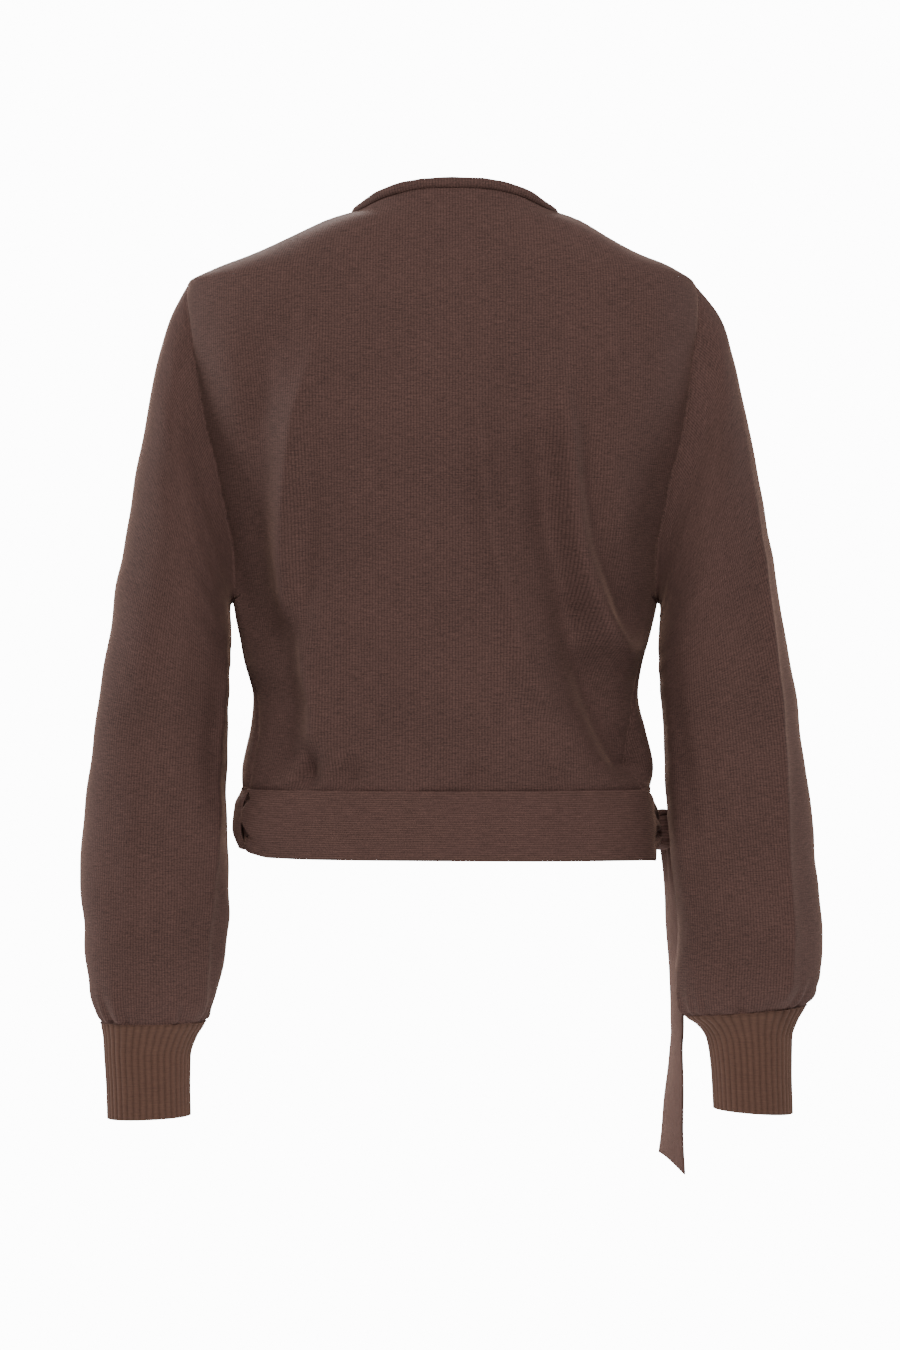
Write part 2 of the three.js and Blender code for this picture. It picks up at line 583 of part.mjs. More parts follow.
// A strip round the body from a table of its edges, such as the belt or a hem band
function strip(table) {
  const edge = columns(table, "turn");
  const surface = (turn, down) =>
    plainPoint(turn, down).addScaledVector(plainNormal(turn, down), edge.lift(turn));
  const turns = table.flatMap((row, i) =>
    Array.from({ length: row.cuts }, (_, k) => mix(row.turn, table[i + 1].turn, k / row.cuts)),
  );
  turns.push(table[table.length - 1].turn);
  const grid = turns.map((turn) =>
    Array.from({ length: BELT_STEPS + 1 }, (_, j) => {
      const down = mix(edge.bottom(turn), edge.top(turn), j / BELT_STEPS);
      return { point: surface(turn, down), out: normalOf(surface, turn, down, 0.4, 1.5).negate() };
    }),
  );
  return clothWall(grid);
}

// A sleeve, or its cuff, as rings of the sleeve surface
function sleevePart(isLeft, rowsAt, around, ribbed) {
  const surface = isLeft ? leftSleeve : rightSleeve;
  const grid = rowsAt.map((row) =>
    Array.from({ length: around }, (_, j) => {
      const turn = (360 * j) / around;
      const point = surface(row, turn);
      const out = row === 0 ? armholeMitre(isLeft, turn) : sleeveNormal(surface, isLeft, row, turn);
      const back = point.clone().addScaledVector(out, -WALL);
      if (ribbed && j % 2) point.addScaledVector(out, RIB_HEIGHT);
      return { point, out, back };
    }),
  );
  return clothWall(trimSeams(grid, { bottom: rowsAt[0] === 0 }, true), true);
}

const SEAM_ROWS = 0.025; // a seam gap, as a share of the distance between two rows of the sleeve table
function sleeveRows() {
  const rows = Array.from({ length: CUFF_ROW }, (_, i) => i);
  rows.splice(1, 0, 0.4);
  return [...rows, CUFF_ROW - 0.45, CUFF_ROW - SEAM_ROWS];
}
const cuffRows = () => [CUFF_ROW + SEAM_ROWS, CUFF_ROW + 1, CUFF_ROW + 2, LEFT_SLEEVE.length - 1];

// A rolled edge: a closed tube of flattened round section along a list of places
function rolledEdge(places) {
  const points = places.map((place) => place.centre);
  const rings = places.map((place, i) => {
    const before = points[Math.max(0, i - 1)];
    const after = points[Math.min(points.length - 1, i + 1)];
    const along = after.clone().sub(before).normalize();
    const high = along.clone().cross(place.out).normalize();
    const out = high.clone().cross(along).normalize();
    return Array.from({ length: ROLL.sides }, (_, k) => {
      const angle = (2 * Math.PI * k) / ROLL.sides;
      return place.centre
        .clone()
        .addScaledVector(high, ROLL.halfHeight * Math.cos(angle))
        .addScaledVector(out, place.halfThickness * Math.sin(angle));
    });
  });
  const n = ROLL.sides;
  const index = [];
  for (let i = 0; i < rings.length - 1; i++) {
    for (let k = 0; k < n; k++) {
      const [a, b] = [i * n + k, i * n + ((k + 1) % n)];
      index.push(a, b, b + n, a, b + n, a + n);
    }
  }
  const end = (rings.length - 1) * n;
  for (let k = 1; k < n - 1; k++) {
    index.push(0, k + 1, k);
    index.push(end, end + k, end + k + 1);
  }
  return facingOut(rings.flat(), index);
}

// A rolled edge that lies just beyond the cloth's edge, in the plane of the cloth. Its stations are
// those of the cloth, and the cloth lies to the right of the way it runs, as seen from outside.
function rollAlong(edgeAt, steps, shape) {
  const places = Array.from({ length: steps + 1 }, (_, i) => {
    const share = THREE.MathUtils.clamp(i / steps, ROLL.trim, 1 - ROLL.trim);
    const { point, out } = edgeAt(share);
    const along = edgeAt(share + 0.005).point.sub(edgeAt(share - 0.005).point).normalize();
    const beyond = out.clone().cross(along).normalize();
    const { sink, halfThickness } = shape(share);
    const clear = ROLL.halfHeight + SEAM_GAP + SEAM_PULL;
    const centre = point.clone().addScaledVector(beyond, clear).addScaledVector(out, -sink);
    return { centre, out, halfThickness };
  });
  return rolledEdge(places);
}

function neckRoll() {
  const edgeAt = (share) => {
    const turn = 180 * share;
    return { point: bodyPoint(turn, neckDown(turn)), out: plainNormal(turn, neckDown(turn)) };
  };
  const shape = () => ({ sink: WALL / 2, halfThickness: ROLL.halfThickness });
  return rollAlong(edgeAt, NECK_STEPS, shape);
}

// The rolled edge of a front. The under front's roll flattens and sinks where the over front covers it.
function wrapRoll(isLeft) {
  const crossing = BELT_TOP * (body.left(0) / (body.left(0) + WRAP_REACH)) ** (1 / WRAP_POWER);
  const downAt = (share) => wrapEdgeDown(isLeft ? share : 1 - share);
  const edgeAt = (share) => {
    const down = downAt(share);
    const x = wrapEdgeX(down, isLeft);
    const turn = frontTurn(isLeft ? x : -x, down);
    const lift = isLeft ? overLift(turn) : underLift(turn);
    return { point: bodyPoint(turn, down, lift, isLeft), out: plainNormal(turn, down) };
  };
  const shape = (share) => {
    const covered = isLeft ? 0 : smooth(crossing - 45, crossing - 15, downAt(share));
    return {
      sink: mix(0.2, WALL / 2 + 1.1, covered),
      halfThickness: mix(ROLL.halfThickness, 1.2, covered),
    };
  };
  return rollAlong(edgeAt, SIDE_STEPS + ARMHOLE_STEPS, shape);
}

// The knot: a round bundle with the wraps of the tie as soft ridges across it
function knot() {
  const shape = new THREE.SphereGeometry(1, 20, 14);
  const position = shape.attributes.position;
  const centre = new THREE.Vector3(KNOT.x, KNOT.y, -KNOT.down);
  const out = new THREE.Vector3(KNOT.x, KNOT.y, 0).normalize();
  const up = new THREE.Vector3(0, 0, 1);
  const around = up.clone().cross(out);
  for (let i = 0; i < position.count; i++) {
    const p = new THREE.Vector3().fromBufferAttribute(position, i);
    const wrap = 1 + 0.07 * Math.cos(7 * (p.y + 0.5 * p.x));
    const at = centre
      .clone()
      .addScaledVector(out, p.z * KNOT.along * wrap)
      .addScaledVector(around, p.x * KNOT.around * wrap)
      .addScaledVector(up, p.y * KNOT.high * wrap);
    position.setXYZ(i, at.x, at.y, at.z);
  }
  shape.deleteAttribute("uv");
  shape.deleteAttribute("normal");
  return shape;
}

// A hanging end of a tie
function tail(table) {
  const at = columns(table, "down");
  const first = table[0].down;
  const last = table[table.length - 1].down;
  const across = 2;
  const grid = Array.from({ length: TAIL_STEPS + 1 }, (_, i) => {
    const down = mix(first, last, i / TAIL_STEPS);
    return Array.from({ length: across + 1 }, (_, j) => {
      const side = j - across / 2;
      const angle = radians(at.turn(down));
      const reach = (side * at.width(down)) / 2;
      const sag = 1.2 * (1 - side * side);
      const x = at.x(down) - reach * Math.sin(angle) + sag * Math.cos(angle);
      const y = at.y(down) + reach * Math.cos(angle) + sag * Math.sin(angle);
      const lower = (i / TAIL_STEPS) * TAIL_SLANT * side;
      const point = new THREE.Vector3(x, y, -down - lower);
      const out = new THREE.Vector3(Math.cos(angle), Math.sin(angle), 0);
      return { point, out };
    });
  });
  return clothWall(grid);
}

const garment = new THREE.Group();
garment.name = "wrap_cardigan";

function add(name, geometry, look = KNIT) {
  const mesh = new THREE.Mesh(geometry, new THREE.MeshStandardMaterial(look));
  mesh.name = name;
  garment.add(mesh);
}

add("back_panel", backPanel());
add("over_front", frontPanel(true));
add("under_front", frontPanel(false));
add("sleeve_left", sleevePart(true, sleeveRows(), 2 * ARMHOLE_STEPS, false));
add("sleeve_right", sleevePart(false, sleeveRows(), 2 * ARMHOLE_STEPS, false));
add("cuff_left", sleevePart(true, cuffRows(), 2 * RIBS, true), RIB_KNIT);
add("cuff_right", sleevePart(false, cuffRows(), 2 * RIBS, true), RIB_KNIT);
add("neck_roll", neckRoll());
add("edge_roll_over", wrapRoll(true));
add("edge_roll_under", wrapRoll(false));
add("over_front_band", strip(OVER_BAND));
add("under_front_band", strip(UNDER_BAND));
add("back_belt", strip(BELT));
add("knot", knot());
add("tie_tail_long", tail(LONG_TAIL));
add("tie_tail_short", tail(SHORT_TAIL));

export default garment;
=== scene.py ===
# A wrap cardigan in fine heathered wool knit, filled out as if worn and seen from behind.
# Shapes are worked out in millimetres in the frame of the solids and put into the scene in metres.

from types import SimpleNamespace

import bpy
import numpy as np
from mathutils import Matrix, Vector


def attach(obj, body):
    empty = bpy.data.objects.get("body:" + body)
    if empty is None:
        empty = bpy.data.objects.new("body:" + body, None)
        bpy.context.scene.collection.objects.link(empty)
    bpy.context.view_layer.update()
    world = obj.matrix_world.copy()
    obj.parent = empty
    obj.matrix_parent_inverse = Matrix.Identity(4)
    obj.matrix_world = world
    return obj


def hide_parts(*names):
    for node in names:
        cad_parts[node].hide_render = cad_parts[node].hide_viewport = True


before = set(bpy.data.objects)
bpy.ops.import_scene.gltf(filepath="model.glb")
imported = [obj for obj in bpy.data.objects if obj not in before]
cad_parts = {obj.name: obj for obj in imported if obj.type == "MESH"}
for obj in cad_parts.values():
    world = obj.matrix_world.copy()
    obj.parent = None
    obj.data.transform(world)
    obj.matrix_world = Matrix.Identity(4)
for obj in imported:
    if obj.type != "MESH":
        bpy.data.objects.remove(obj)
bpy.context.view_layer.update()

MM = 0.001  # one millimetre in metres

# Cloth
WALL = 1.5
LAYER = 3
SIDE_FLATNESS = 2.3
WALE = 2.15  # distance between two columns of stitches
COURSE = 1.6  # distance between two rows of stitches
STITCH_DEPTH = 0.28

# Levels, as distances below the shoulder-neck points
SHOULDER_TIP = 52
ARMPIT = 292
BELT_TOP = 430
HEM = 480

# Armhole and neck. In a pair of values, True is for the wearer's left side and False for the right.
ARMHOLE_HALF_DEPTH = 52
ARMHOLE_VALLEY = {True: 17, False: 8}
NECK_RISE = 14
NECK_SIDE_RISE = 2.4
NECK_RISE_POWER = {True: 2.4, False: 3.8}

# Front edges, side seams and slit
WRAP_REACH = 132
WRAP_POWER = 1.5
SIDE_SEAM_TURN = 13.8
SLIT_HALF_TURN = 1.5

# Rolled edges, in the open and where they pass over the shoulder
ROLL_HALF_HEIGHT = 4.4
ROLL_HALF_THICKNESS = 2.5
ROLL_RADIUS = 3.2
ROLL_CLEAR = 3.2
SHOULDER_CLEAR = -0.5
SHOULDER_SINK = 0.6
SHOULDER_SIZE = 0.6
OPEN_SINK = 0.2
HIDDEN_SINK = 1.85
HIDDEN_HALF_THICKNESS = 1.2
NECK_ROLL_THICKER = 1.15

# Waves that add up to the unevenness of the cloth
RIPPLE_WAVES = 14

# Ribs of the cuffs, and the row of the sleeve tables where they start
RIBS = 40
RIB_HEIGHT = 0.7
CUFF_ROW = 15

# Each seam sinks into the cloth along its line
SEAM_DEPTH = 0.6
SEAM_WIDTH = 1.1
SLEEVE_SEAM_WIDTH = 1.6

# Steps up a panel's side below the belt, from there to the armpit, and up the armhole
HEM_STEPS, SIDE_STEPS, ARM_STEPS = 3, 9, 12

# Steps across the back and each front, along one shoulder, and how finely a step is cut
BACK_STEPS, SHOULDER_STEPS = 28, 6
FRONT_STEPS = {True: 18, False: 14}
PANEL_CUTS, FRONT_CUTS = 7, 8

# Stations along the strips, tails and rolled edges, and cells across the strips and tails
STRIP_STATIONS, STRIP_CELLS = 420, 24
TAIL_STATIONS, TAIL_CELLS = 130, 20
NECK_ROLL_STATIONS, WRAP_ROLL_STATIONS = 160, 260

# Sides round the other pieces, where a rib has its own, and how finely a row of a sleeve is cut
SLEEVE_SIDES, RIB_SIDES = 168, 10
SLEEVE_CUTS, CUFF_CUTS = 11, 8
ROLL_SIDES, TUBE_SIDES = 20, 28


def table(names, *rows):
    return {name: np.array(values, float) for name, values in zip(names.split(), zip(*rows))}


def curve(x, y):
    """A curve through points that never overshoots them."""
    x, y = np.asarray(x, float), np.asarray(y, float)
    if x[0] > x[-1]:
        x, y = x[::-1], y[::-1]
    slope = np.diff(y) / np.diff(x)
    before, after = slope[:-1], slope[1:]
    even = before * after > 0
    middle = np.where(even, 2 * before * after / np.where(even, before + after, 1), 0)
    tangent = np.concatenate([slope[:1], middle, slope[-1:]])

    def at(v):
        v = np.clip(v, x[0], x[-1])
        i = np.clip(np.searchsorted(x, v, side="right") - 1, 0, len(x) - 2)
        step = x[i + 1] - x[i]
        t = (v - x[i]) / step
        t2, t3 = t * t, t * t * t
        return (
            (2 * t3 - 3 * t2 + 1) * y[i]
            + (t3 - 2 * t2 + t) * step * tangent[i]
            + (3 * t2 - 2 * t3) * y[i + 1]
            + (t3 - t2) * step * tangent[i + 1]
        )

    return at


def curves(columns, by=None):
    """Every column of a table as a curve over one of them, or over its row numbers."""
    x = columns[by] if by else np.arange(len(next(iter(columns.values()))))
    return SimpleNamespace(**{name: curve(x, y) for name, y in columns.items() if name != by})


def smooth(start, end, v):
    t = np.clip((v - start) / (end - start), 0, 1)
    return t * t * (3 - 2 * t)


def mix(a, b, t):
    return a + (b - a) * t


def bell(v):
    return np.exp(-(v**2))


def line_length(points):
    """Length of a line of points up to each of them."""
    return np.concatenate([[0], np.cumsum(np.linalg.norm(np.diff(points, axis=0), axis=-1))])


def unit(v):
    return v / np.maximum(np.linalg.norm(v, axis=-1, keepdims=True), 1e-12)


def ring_grid(rows, sides):
    """Point numbers of a row of rings, with the first number of each ring again at its end."""
    grid = np.arange(rows * sides).reshape(rows, sides)
    return np.concatenate([grid, grid[:, :1]], 1)


def quads(g):
    """The four corners of every cell of a grid of point numbers."""
    return np.stack([g[:-1, :-1], g[:-1, 1:], g[1:, 1:], g[1:, :-1]], -1).reshape(-1, 4)


# The body's cross-section at each level: half-width on each side, depth to the back and to the front
BODY = table(
    "down left right back front",
    (-20, 63, 72, 55, 30),
    (0, 69, 79, 64, 32),
    (7.5, 91, 98, 70, 35),
    (27.5, 138, 136.5, 82, 46),
    (45, 180, 174, 92, 59),
    (52, 195, 184.5, 94, 62),
    (70, 199, 191, 101, 72),
    (100, 199, 193, 109, 86),
    (150, 195, 190, 115, 106),
    (200, 184, 179.5, 114, 121),
    (250, 169.5, 166, 109, 118),
    (292, 161.3, 157.3, 104, 108),
    (305, 159.2, 154.6, 103, 105),
    (335, 152.6, 146.5, 101, 100),
    (362, 146, 142.5, 99.5, 97),
    (385, 147.5, 147.5, 98, 96),
    (416, 154.5, 153.5, 95.5, 98),
    (430, 155, 152, 94, 94),
    (442, 160, 151.5, 91, 94),
    (460, 161.5, 152, 91, 94),
    (474, 157, 152, 91, 94),
    (482, 153, 152, 91, 94),
)

# Rings of each sleeve: the outer and the inner point as seen from behind, then middle and half-depth
LEFT_SLEEVE = table(
    "out_x out_down in_x in_down middle half",
    (195, 52, 161.3, 292, 0, 52),
    (208.5, 79, 162.9, 294.5, 0, 55),
    (217.5, 109, 163.3, 298, 0, 57),
    (226.5, 154, 163, 306, -1, 58),
    (234.8, 199, 162.5, 317, -2, 58),
    (242.3, 244, 163.5, 331, -4, 58),
    (249.5, 282, 164.2, 347, -6, 57),
    (257.7, 333, 165.5, 370, -8, 56),
    (265.6, 383, 166.5, 398, -10, 55),
    (271.1, 428, 166.2, 432, -12, 54),
    (275, 470, 165.8, 470, -14, 53),
    (276.7, 508, 165.7, 508, -16, 52),
    (276.1, 542, 167.9, 542, -18, 50),
    (271.8, 576, 172.9, 576, -20, 46),
    (266.4, 598, 178.7, 597, -21, 41),
    (262.4, 608, 182.8, 607, -22, 37),
    (260, 618.5, 190.4, 619, -22.5, 32),
    (259.2, 633, 195, 634, -23, 28.5),
    (257.7, 657, 195.4, 656, -23.5, 27),
    (257, 680.5, 195, 678, -24, 26.5),
)
RIGHT_SLEEVE = table(
    "out_x out_down in_x in_down middle half",
    (184.5, 52, 157.3, 292, 0, 52),
    (204.5, 79, 158.9, 294.5, 0, 55),
    (214, 109, 159.2, 298, 0, 57),
    (224.2, 154, 158.6, 306, 0, 58),
    (233, 199, 157.8, 317, 1, 58),
    (240.8, 244, 157.6, 331, 2, 58),
    (247.3, 282, 158.4, 347, 3, 57),
    (255.7, 333, 159.7, 370, 4, 56),
    (263.6, 383, 161.6, 398, 5, 55),
    (269.2, 428, 163.1, 432, 5, 54),
    (273.3, 469, 165.5, 469, 5, 53),
    (276.4, 507, 168.5, 507, 4, 52),
    (279, 545, 170.6, 543, 2, 50),
    (278.2, 570, 170.2, 573, 0, 47),
    (275.4, 584, 172.1, 591, -2, 43),
    (269.4, 593, 177.2, 601, -4, 38),
    (262.1, 605, 187, 607.5, -5, 33),
    (258.1, 618.5, 194.6, 618.5, -6, 29),
    (257.8, 643, 198.1, 640, -7, 27),
    (258.7, 675, 200, 671, -8, 26.5),
)

# Strips round the body. Turn is degrees from the left side over the back.
STRIP_HEIGHT = 50
BELT = table(
    "turn top bottom lift",
    (11, 430.6, 472, -3.2),
    (13.8, 430.7, 474, 0),
    (15.2, 430.7, 475.4, 3.2),
    (18, 430.6, 477, 3.6),
    (24, 430.5, 479.5, 3.4),
    (40, 430.5, 480.2, 3),
    (90, 430.5, 480.8, 3),
    (150, 430.5, 481.8, 3),
    (166, 431, 482.8, 3.2),
    (172, 434.5, 483.5, 3.4),
    (177.6, 439.5, 484.4, 3.8),
    (178.6, 440.5, 476, 4.0),
    (182, 444, 474, 5.6),
    (186, 449, 472, 8.5),
    (190.75, 455, 470, 13.2),
)
OVER_BAND = table(
    "turn top bottom lift",
    (12.3, 430.4, 473, 0),
    (2, 430.4, 475, 0),
    (-14, 430.4, 479, 0.4),
    (-50, 430.4, 481, 3),
    (-120, 430.4, 481, 3),
    (-140, 430.4, 480, 3.6),
    (-152, 436, 476, 7),
    (-161.5, 450.5, 469.5, 13),
)
UNDER_BAND = table(
    "turn top bottom lift",
    (-193.6, 430.4, 480, 0),
    (-130, 430.4, 480, 0),
    (-50, 430.4, 480, 0),
    (-14, 433, 476, -2.6),
    (4, 437, 471, -3.2),
    (11.85, 439, 470, -3.4),
)

# Knot of the two ties, and the two ends that hang from it
KNOT = SimpleNamespace(x=-163, y=-48, down=463.5)
KNOT_TURNS = table(
    "tilt radius offset half_width half_thickness",
    (0.25, 10.5, 0, 8.6, 3.4),
    (-1.15, 9, 0.6, 7.2, 3.2),
    (1.2, 8.5, -1.2, 6.8, 3.2),
)
KNOT_STATIONS = 72
KNOT_TURN_LENGTH = 90
TUBE_FLATNESS = 2.6
LONG_TAIL = table(
    "down x y width turn",
    (464, -164, -49, 17, 40),
    (480, -168, -52, 26, 30),
    (496, -169.5, -55, 37, 18),
    (518, -171, -56, 44, 12),
    (548, -172.5, -56, 46, 9.5),
    (579, -173.8, -56, 46, 9.5),
    (609, -174.2, -56, 46, 9.3),
    (625, -174, -56, 46, 7.5),
    (640, -173.4, -56, 46, 9.3),
    (670, -172.2, -56, 46, 13),
    (701, -170.8, -56, 46, 17.5),
    (718.5, -170.3, -56, 46, 21.5),
)
SHORT_TAIL = table(
    "down x y width turn",
    (464, -167, -52, 15, 10),
    (474, -171, -58, 18, 8),
    (494, -177, -69, 34, 4),
    (530, -180.5, -73, 44, 3),
    (582, -181.5, -73, 46, 4),
)
TAIL_SLANT = 6


# A fold runs along a line of (x, down) places. Height is that of a ridge, or of a trough if negative,
# and lean makes its flank on the wearer's left steeper (positive) or the other one (negative).
def fold(line, width, height, lean=0.0, fade=0.3):
    x, down = zip(*line)
    return SimpleNamespace(
        centre=curve(down, x), first=down[0], last=down[-1],
        width=width, height=height, lean=lean, fade=fade,
    )


BACK_FOLDS = [
    fold([(135, 75), (142, 200), (141, 345)], 16, -10),
    fold([(94, 80), (98, 117), (110, 160), (116, 204), (119, 247), (121, 320)], 13, 8),
    fold([(97, 150), (104, 250), (106, 330)], 9, -4, fade=0.5),
    fold([(112, 250), (105, 333), (97, 381), (101, 425)], 15, 9, lean=0.35, fade=0.6),
    fold([(128, 250), (124, 330), (122, 370), (128, 428)], 20, -10, fade=0.5),
    fold([(-78, 100), (-85.5, 160), (-90.6, 204), (-95, 247), (-109.5, 291), (-126, 320), (-142, 350)],
         13, 11.5),
    fold([(-62, 110), (-72, 204), (-77, 247), (-90, 291), (-100, 330)], 15, -13, fade=0.55),
    fold([(-96, 110), (-104, 204), (-112, 247), (-128, 291), (-138, 330)], 12, -10, fade=0.5),
    fold([(-140, 130), (-148, 290), (-147, 372)], 22, -4),
    fold([(-17, 110), (-23, 160), (-26, 204), (-32, 247), (-45, 291), (-54, 335), (-88, 388)],
         15, 12, fade=0.28),
    fold([(-66, 265), (-84, 290), (-103, 334), (-123, 378), (-140, 411), (-150, 434)],
         19, -20, fade=0.5),
    fold([(96, 388), (101, 410), (108, 434)], 8, -12, fade=0.5),
    fold([(70, 398), (76, 432)], 9, -5, fade=0.5),
    fold([(-22, 404), (-18, 434)], 9, -4, fade=0.5),
    fold([(-70, 402), (-88, 434)], 9, -4, fade=0.5),
]
FRONT_FOLDS = table(
    "from_x from_down to_x to_down bow width height",
    (-128, 436, 20, 236, 10, 13, 4),
    (-118, 440, 70, 290, 12, 12, 4.5),
    (-100, 440, 112, 345, 9, 12, 4),
    (-70, 446, 120, 405, 5, 11, 3),
)


def back_folds(x, down):
    total = np.zeros(np.broadcast(x, down).shape)
    for f in BACK_FOLDS:
        slope = f.centre(down + 2) - f.centre(down - 2)
        across = (x - f.centre(down)) / np.hypot(1, slope / 4)
        width = f.width * np.where(across > 0, 1 - f.lean, 1 + f.lean)
        along = np.clip((down - f.first) / (f.last - f.first), 0, 1)
        ends = smooth(0, f.fade, along) * smooth(1, 1 - min(f.fade / 2, 0.15), along)
        off = across / width
        crest = np.exp(-1.3 * (np.sqrt(off**2 + 0.06) - 0.245))
        total += f.height * ends * (crest if f.height > 0 else bell(off))
    return total


def front_folds(x, down):
    total = np.zeros(np.broadcast(x, down).shape)
    for from_x, from_down, to_x, to_down, bow, width, height in zip(*FRONT_FOLDS.values()):
        run_x, run_down = to_x - from_x, to_down - from_down
        length = np.hypot(run_x, run_down)
        along = np.clip(((x - from_x) * run_x + (down - from_down) * run_down) / length**2, 0, 1)
        across = ((x - from_x) * run_down - (down - from_down) * run_x) / length
        off = (across - bow * 4 * along * (1 - along)) / width
        total += height * bell(off) * np.sin(np.pi * along) ** 0.7
    return total


def ripples(a, b, seed, scale, height):
    """A gentle unevenness from waves in random directions."""
    chance = np.random.default_rng(seed)
    total = 0
    for _ in range(RIPPLE_WAVES):
        way = chance.uniform(0, np.pi)
        length = scale * chance.uniform(0.6, 1.7)
        phase = chance.uniform(0, 2 * np.pi)
        total = total + np.sin(2 * np.pi * (a * np.cos(way) + b * np.sin(way)) / length + phase)
    return height * total / np.sqrt(RIPPLE_WAVES)


body = curves(BODY, "down")


def plain_point(turn, down):
    turn, down = np.broadcast_arrays(np.asarray(turn, float), np.asarray(down, float))
    c, s = np.cos(np.radians(turn)), np.sin(np.radians(turn))
    across = np.where(c > 0, body.left(down), body.right(down))
    deep = np.where(s > 0, body.back(down), body.front(down))
    n = SIDE_FLATNESS
    r = ((np.abs(c) / across) ** n + (np.abs(s) / deep) ** n) ** (-1 / n)
    return np.stack([r * c, r * s, -down], -1)


def normal_of(surface, a, b, step_a, step_b):
    da = surface(a + step_a, b) - surface(a - step_a, b)
    db = surface(a, b + step_b) - surface(a, b - step_b)
    return unit(np.cross(da, db))


def plain_normal(turn, down):
    return -normal_of(plain_point, turn, down, 0.2, 0.5)


def armhole_half_depth(down):
    middle = (SHOULDER_TIP + ARMPIT) / 2
    share = np.clip((down - middle) / (ARMPIT - middle), -1, 1)
    return ARMHOLE_HALF_DEPTH * np.sqrt(1 - share**2)


def armhole_valley(x, y, down):
    """The cloth sinks in beside the armhole, where the arm presses it to the body."""
    across = np.where(x > 0, body.left(down), body.right(down))
    deep = np.where(y > 0, body.back(down), body.front(down))
    edge = across * (1 - (armhole_half_depth(down) / deep) ** SIDE_FLATNESS) ** (1 / SIDE_FLATNESS)
    depth = np.where(x > 0, ARMHOLE_VALLEY[True], ARMHOLE_VALLEY[False])
    depth = depth * smooth(60, 190, down) * smooth(350, 285, down)
    inward = -np.sign(y) * smooth(8, 45, np.abs(y))
    return depth * bell((edge - np.abs(x)) / 20) * inward


def body_height(p, down, fronts):
    """Height of the folds and ripples of the body's cloth at a place on its plain form."""
    x, y = p[..., 0], p[..., 1]
    front = front_folds(x, down) if fronts else 0
    folds = np.where(y > 0, back_folds(x, down), front) * smooth(0, 30, np.abs(y))
    beside_neck = NECK_SIDE_RISE * smooth(24, 2, down) * smooth(36, 8, np.abs(y))
    folds = folds + beside_neck
    calm = smooth(0, 40, down) * smooth(470, 420, down)
    uneven = ripples(x + 0.6 * y, down, 3, 62, 0.45) + ripples(x - 0.4 * y, down * 0.7, 5, 26, 0.14)
    return folds * smooth(435, 417, down) + calm * uneven


def body_point(turn, down, lift=0, fronts=False):
    p = plain_point(turn, down)
    level = -p[..., 2]
    height = lift + body_height(p, level, fronts)
    moved = p + plain_normal(turn, down) * np.asarray(height)[..., None]
    moved[..., 1] += armhole_valley(p[..., 0], p[..., 1], level)
    return moved


def front_turn(x, down):
    across = np.where(x > 0, body.left(down), body.right(down))
    share = np.minimum(1, np.abs(x) / across)
    y = body.front(down) * (1 - share**SIDE_FLATNESS) ** (1 / SIDE_FLATNESS)
    turn = -np.degrees(np.arctan2(y, np.abs(x)))
    return np.where(x > 0, turn, -180 - turn)


def seam_turn(down):
    return SIDE_SEAM_TURN * smooth(ARMPIT, BELT_TOP, down)


def wrap_edge_x(down, is_left):
    neck = body.left(0.0) if is_left else body.right(0.0)
    return neck - (neck + WRAP_REACH) * (np.clip(down, 0, None) / BELT_TOP) ** WRAP_POWER


def wrap_edge_down(up):
    return BELT_TOP * (1 - np.clip(up, 0, 1) ** 0.9)


def over_lift(turn):
    return LAYER * smooth(-18, -50, turn)


def under_lift(turn):
    return over_lift(turn) - LAYER


def neck_down(turn):
    c, s = np.abs(np.cos(np.radians(turn))), np.sin(np.radians(turn))
    n = SIDE_FLATNESS
    share = c / (c**n + (s * (body.left(0.0) / body.back(0.0))) ** n) ** (1 / n)
    power = np.where(np.cos(np.radians(turn)) > 0, NECK_RISE_POWER[True], NECK_RISE_POWER[False])
    return -NECK_RISE * (1 - np.minimum(1, share) ** power)


# Armhole turn 0 is the shoulder tip, 90 the back and 180 the armpit
def armhole_place(is_left, turn):
    half = (ARMPIT - SHOULDER_TIP) / 2
    down = SHOULDER_TIP + half - half * np.cos(np.radians(turn))
    y = ARMHOLE_HALF_DEPTH * np.sin(np.radians(turn))
    across = body.left(down) if is_left else body.right(down)
    deep = np.where(y > 0, body.back(down), body.front(down))
    x = across * (1 - (np.abs(y) / deep) ** SIDE_FLATNESS) ** (1 / SIDE_FLATNESS)
    return np.degrees(np.arctan2(y, x if is_left else -x)), down


def armhole_point(is_left, turn):
    return body_point(*armhole_place(is_left, turn), fronts=is_left)


def sleeve_surface(is_left):
    """Sleeve and cuff as one surface of (row of the table, degrees from the outer point over the back)."""
    ring = curves(LEFT_SLEEVE if is_left else RIGHT_SLEEVE)
    side = 1 if is_left else -1

    def on_ellipse(row, turn):
        c, s = np.cos(np.radians(turn)), np.sin(np.radians(turn))
        x = mix(ring.in_x(row), ring.out_x(row), (1 + c) / 2)
        down = mix(ring.in_down(row), ring.out_down(row), (1 + c) / 2)
        return np.stack([side * x, ring.middle(row) + ring.half(row) * s, -down], -1)

    def surface(row, turn):
        row, turn = np.broadcast_arrays(np.asarray(row, float), np.asarray(turn, float))
        row = np.maximum(row, 0)
        p = on_ellipse(row, turn)
        share = (1 - smooth(0, 4, row))[..., None]
        p = p + (armhole_point(is_left, turn) - on_ellipse(0 * row, turn)) * share
        centre = (on_ellipse(row, 0 * turn) + on_ellipse(row, 0 * turn + 180)) / 2
        out = unit(p - centre)
        return p + out * sleeve_height(is_left, row, turn)[..., None]

    return surface


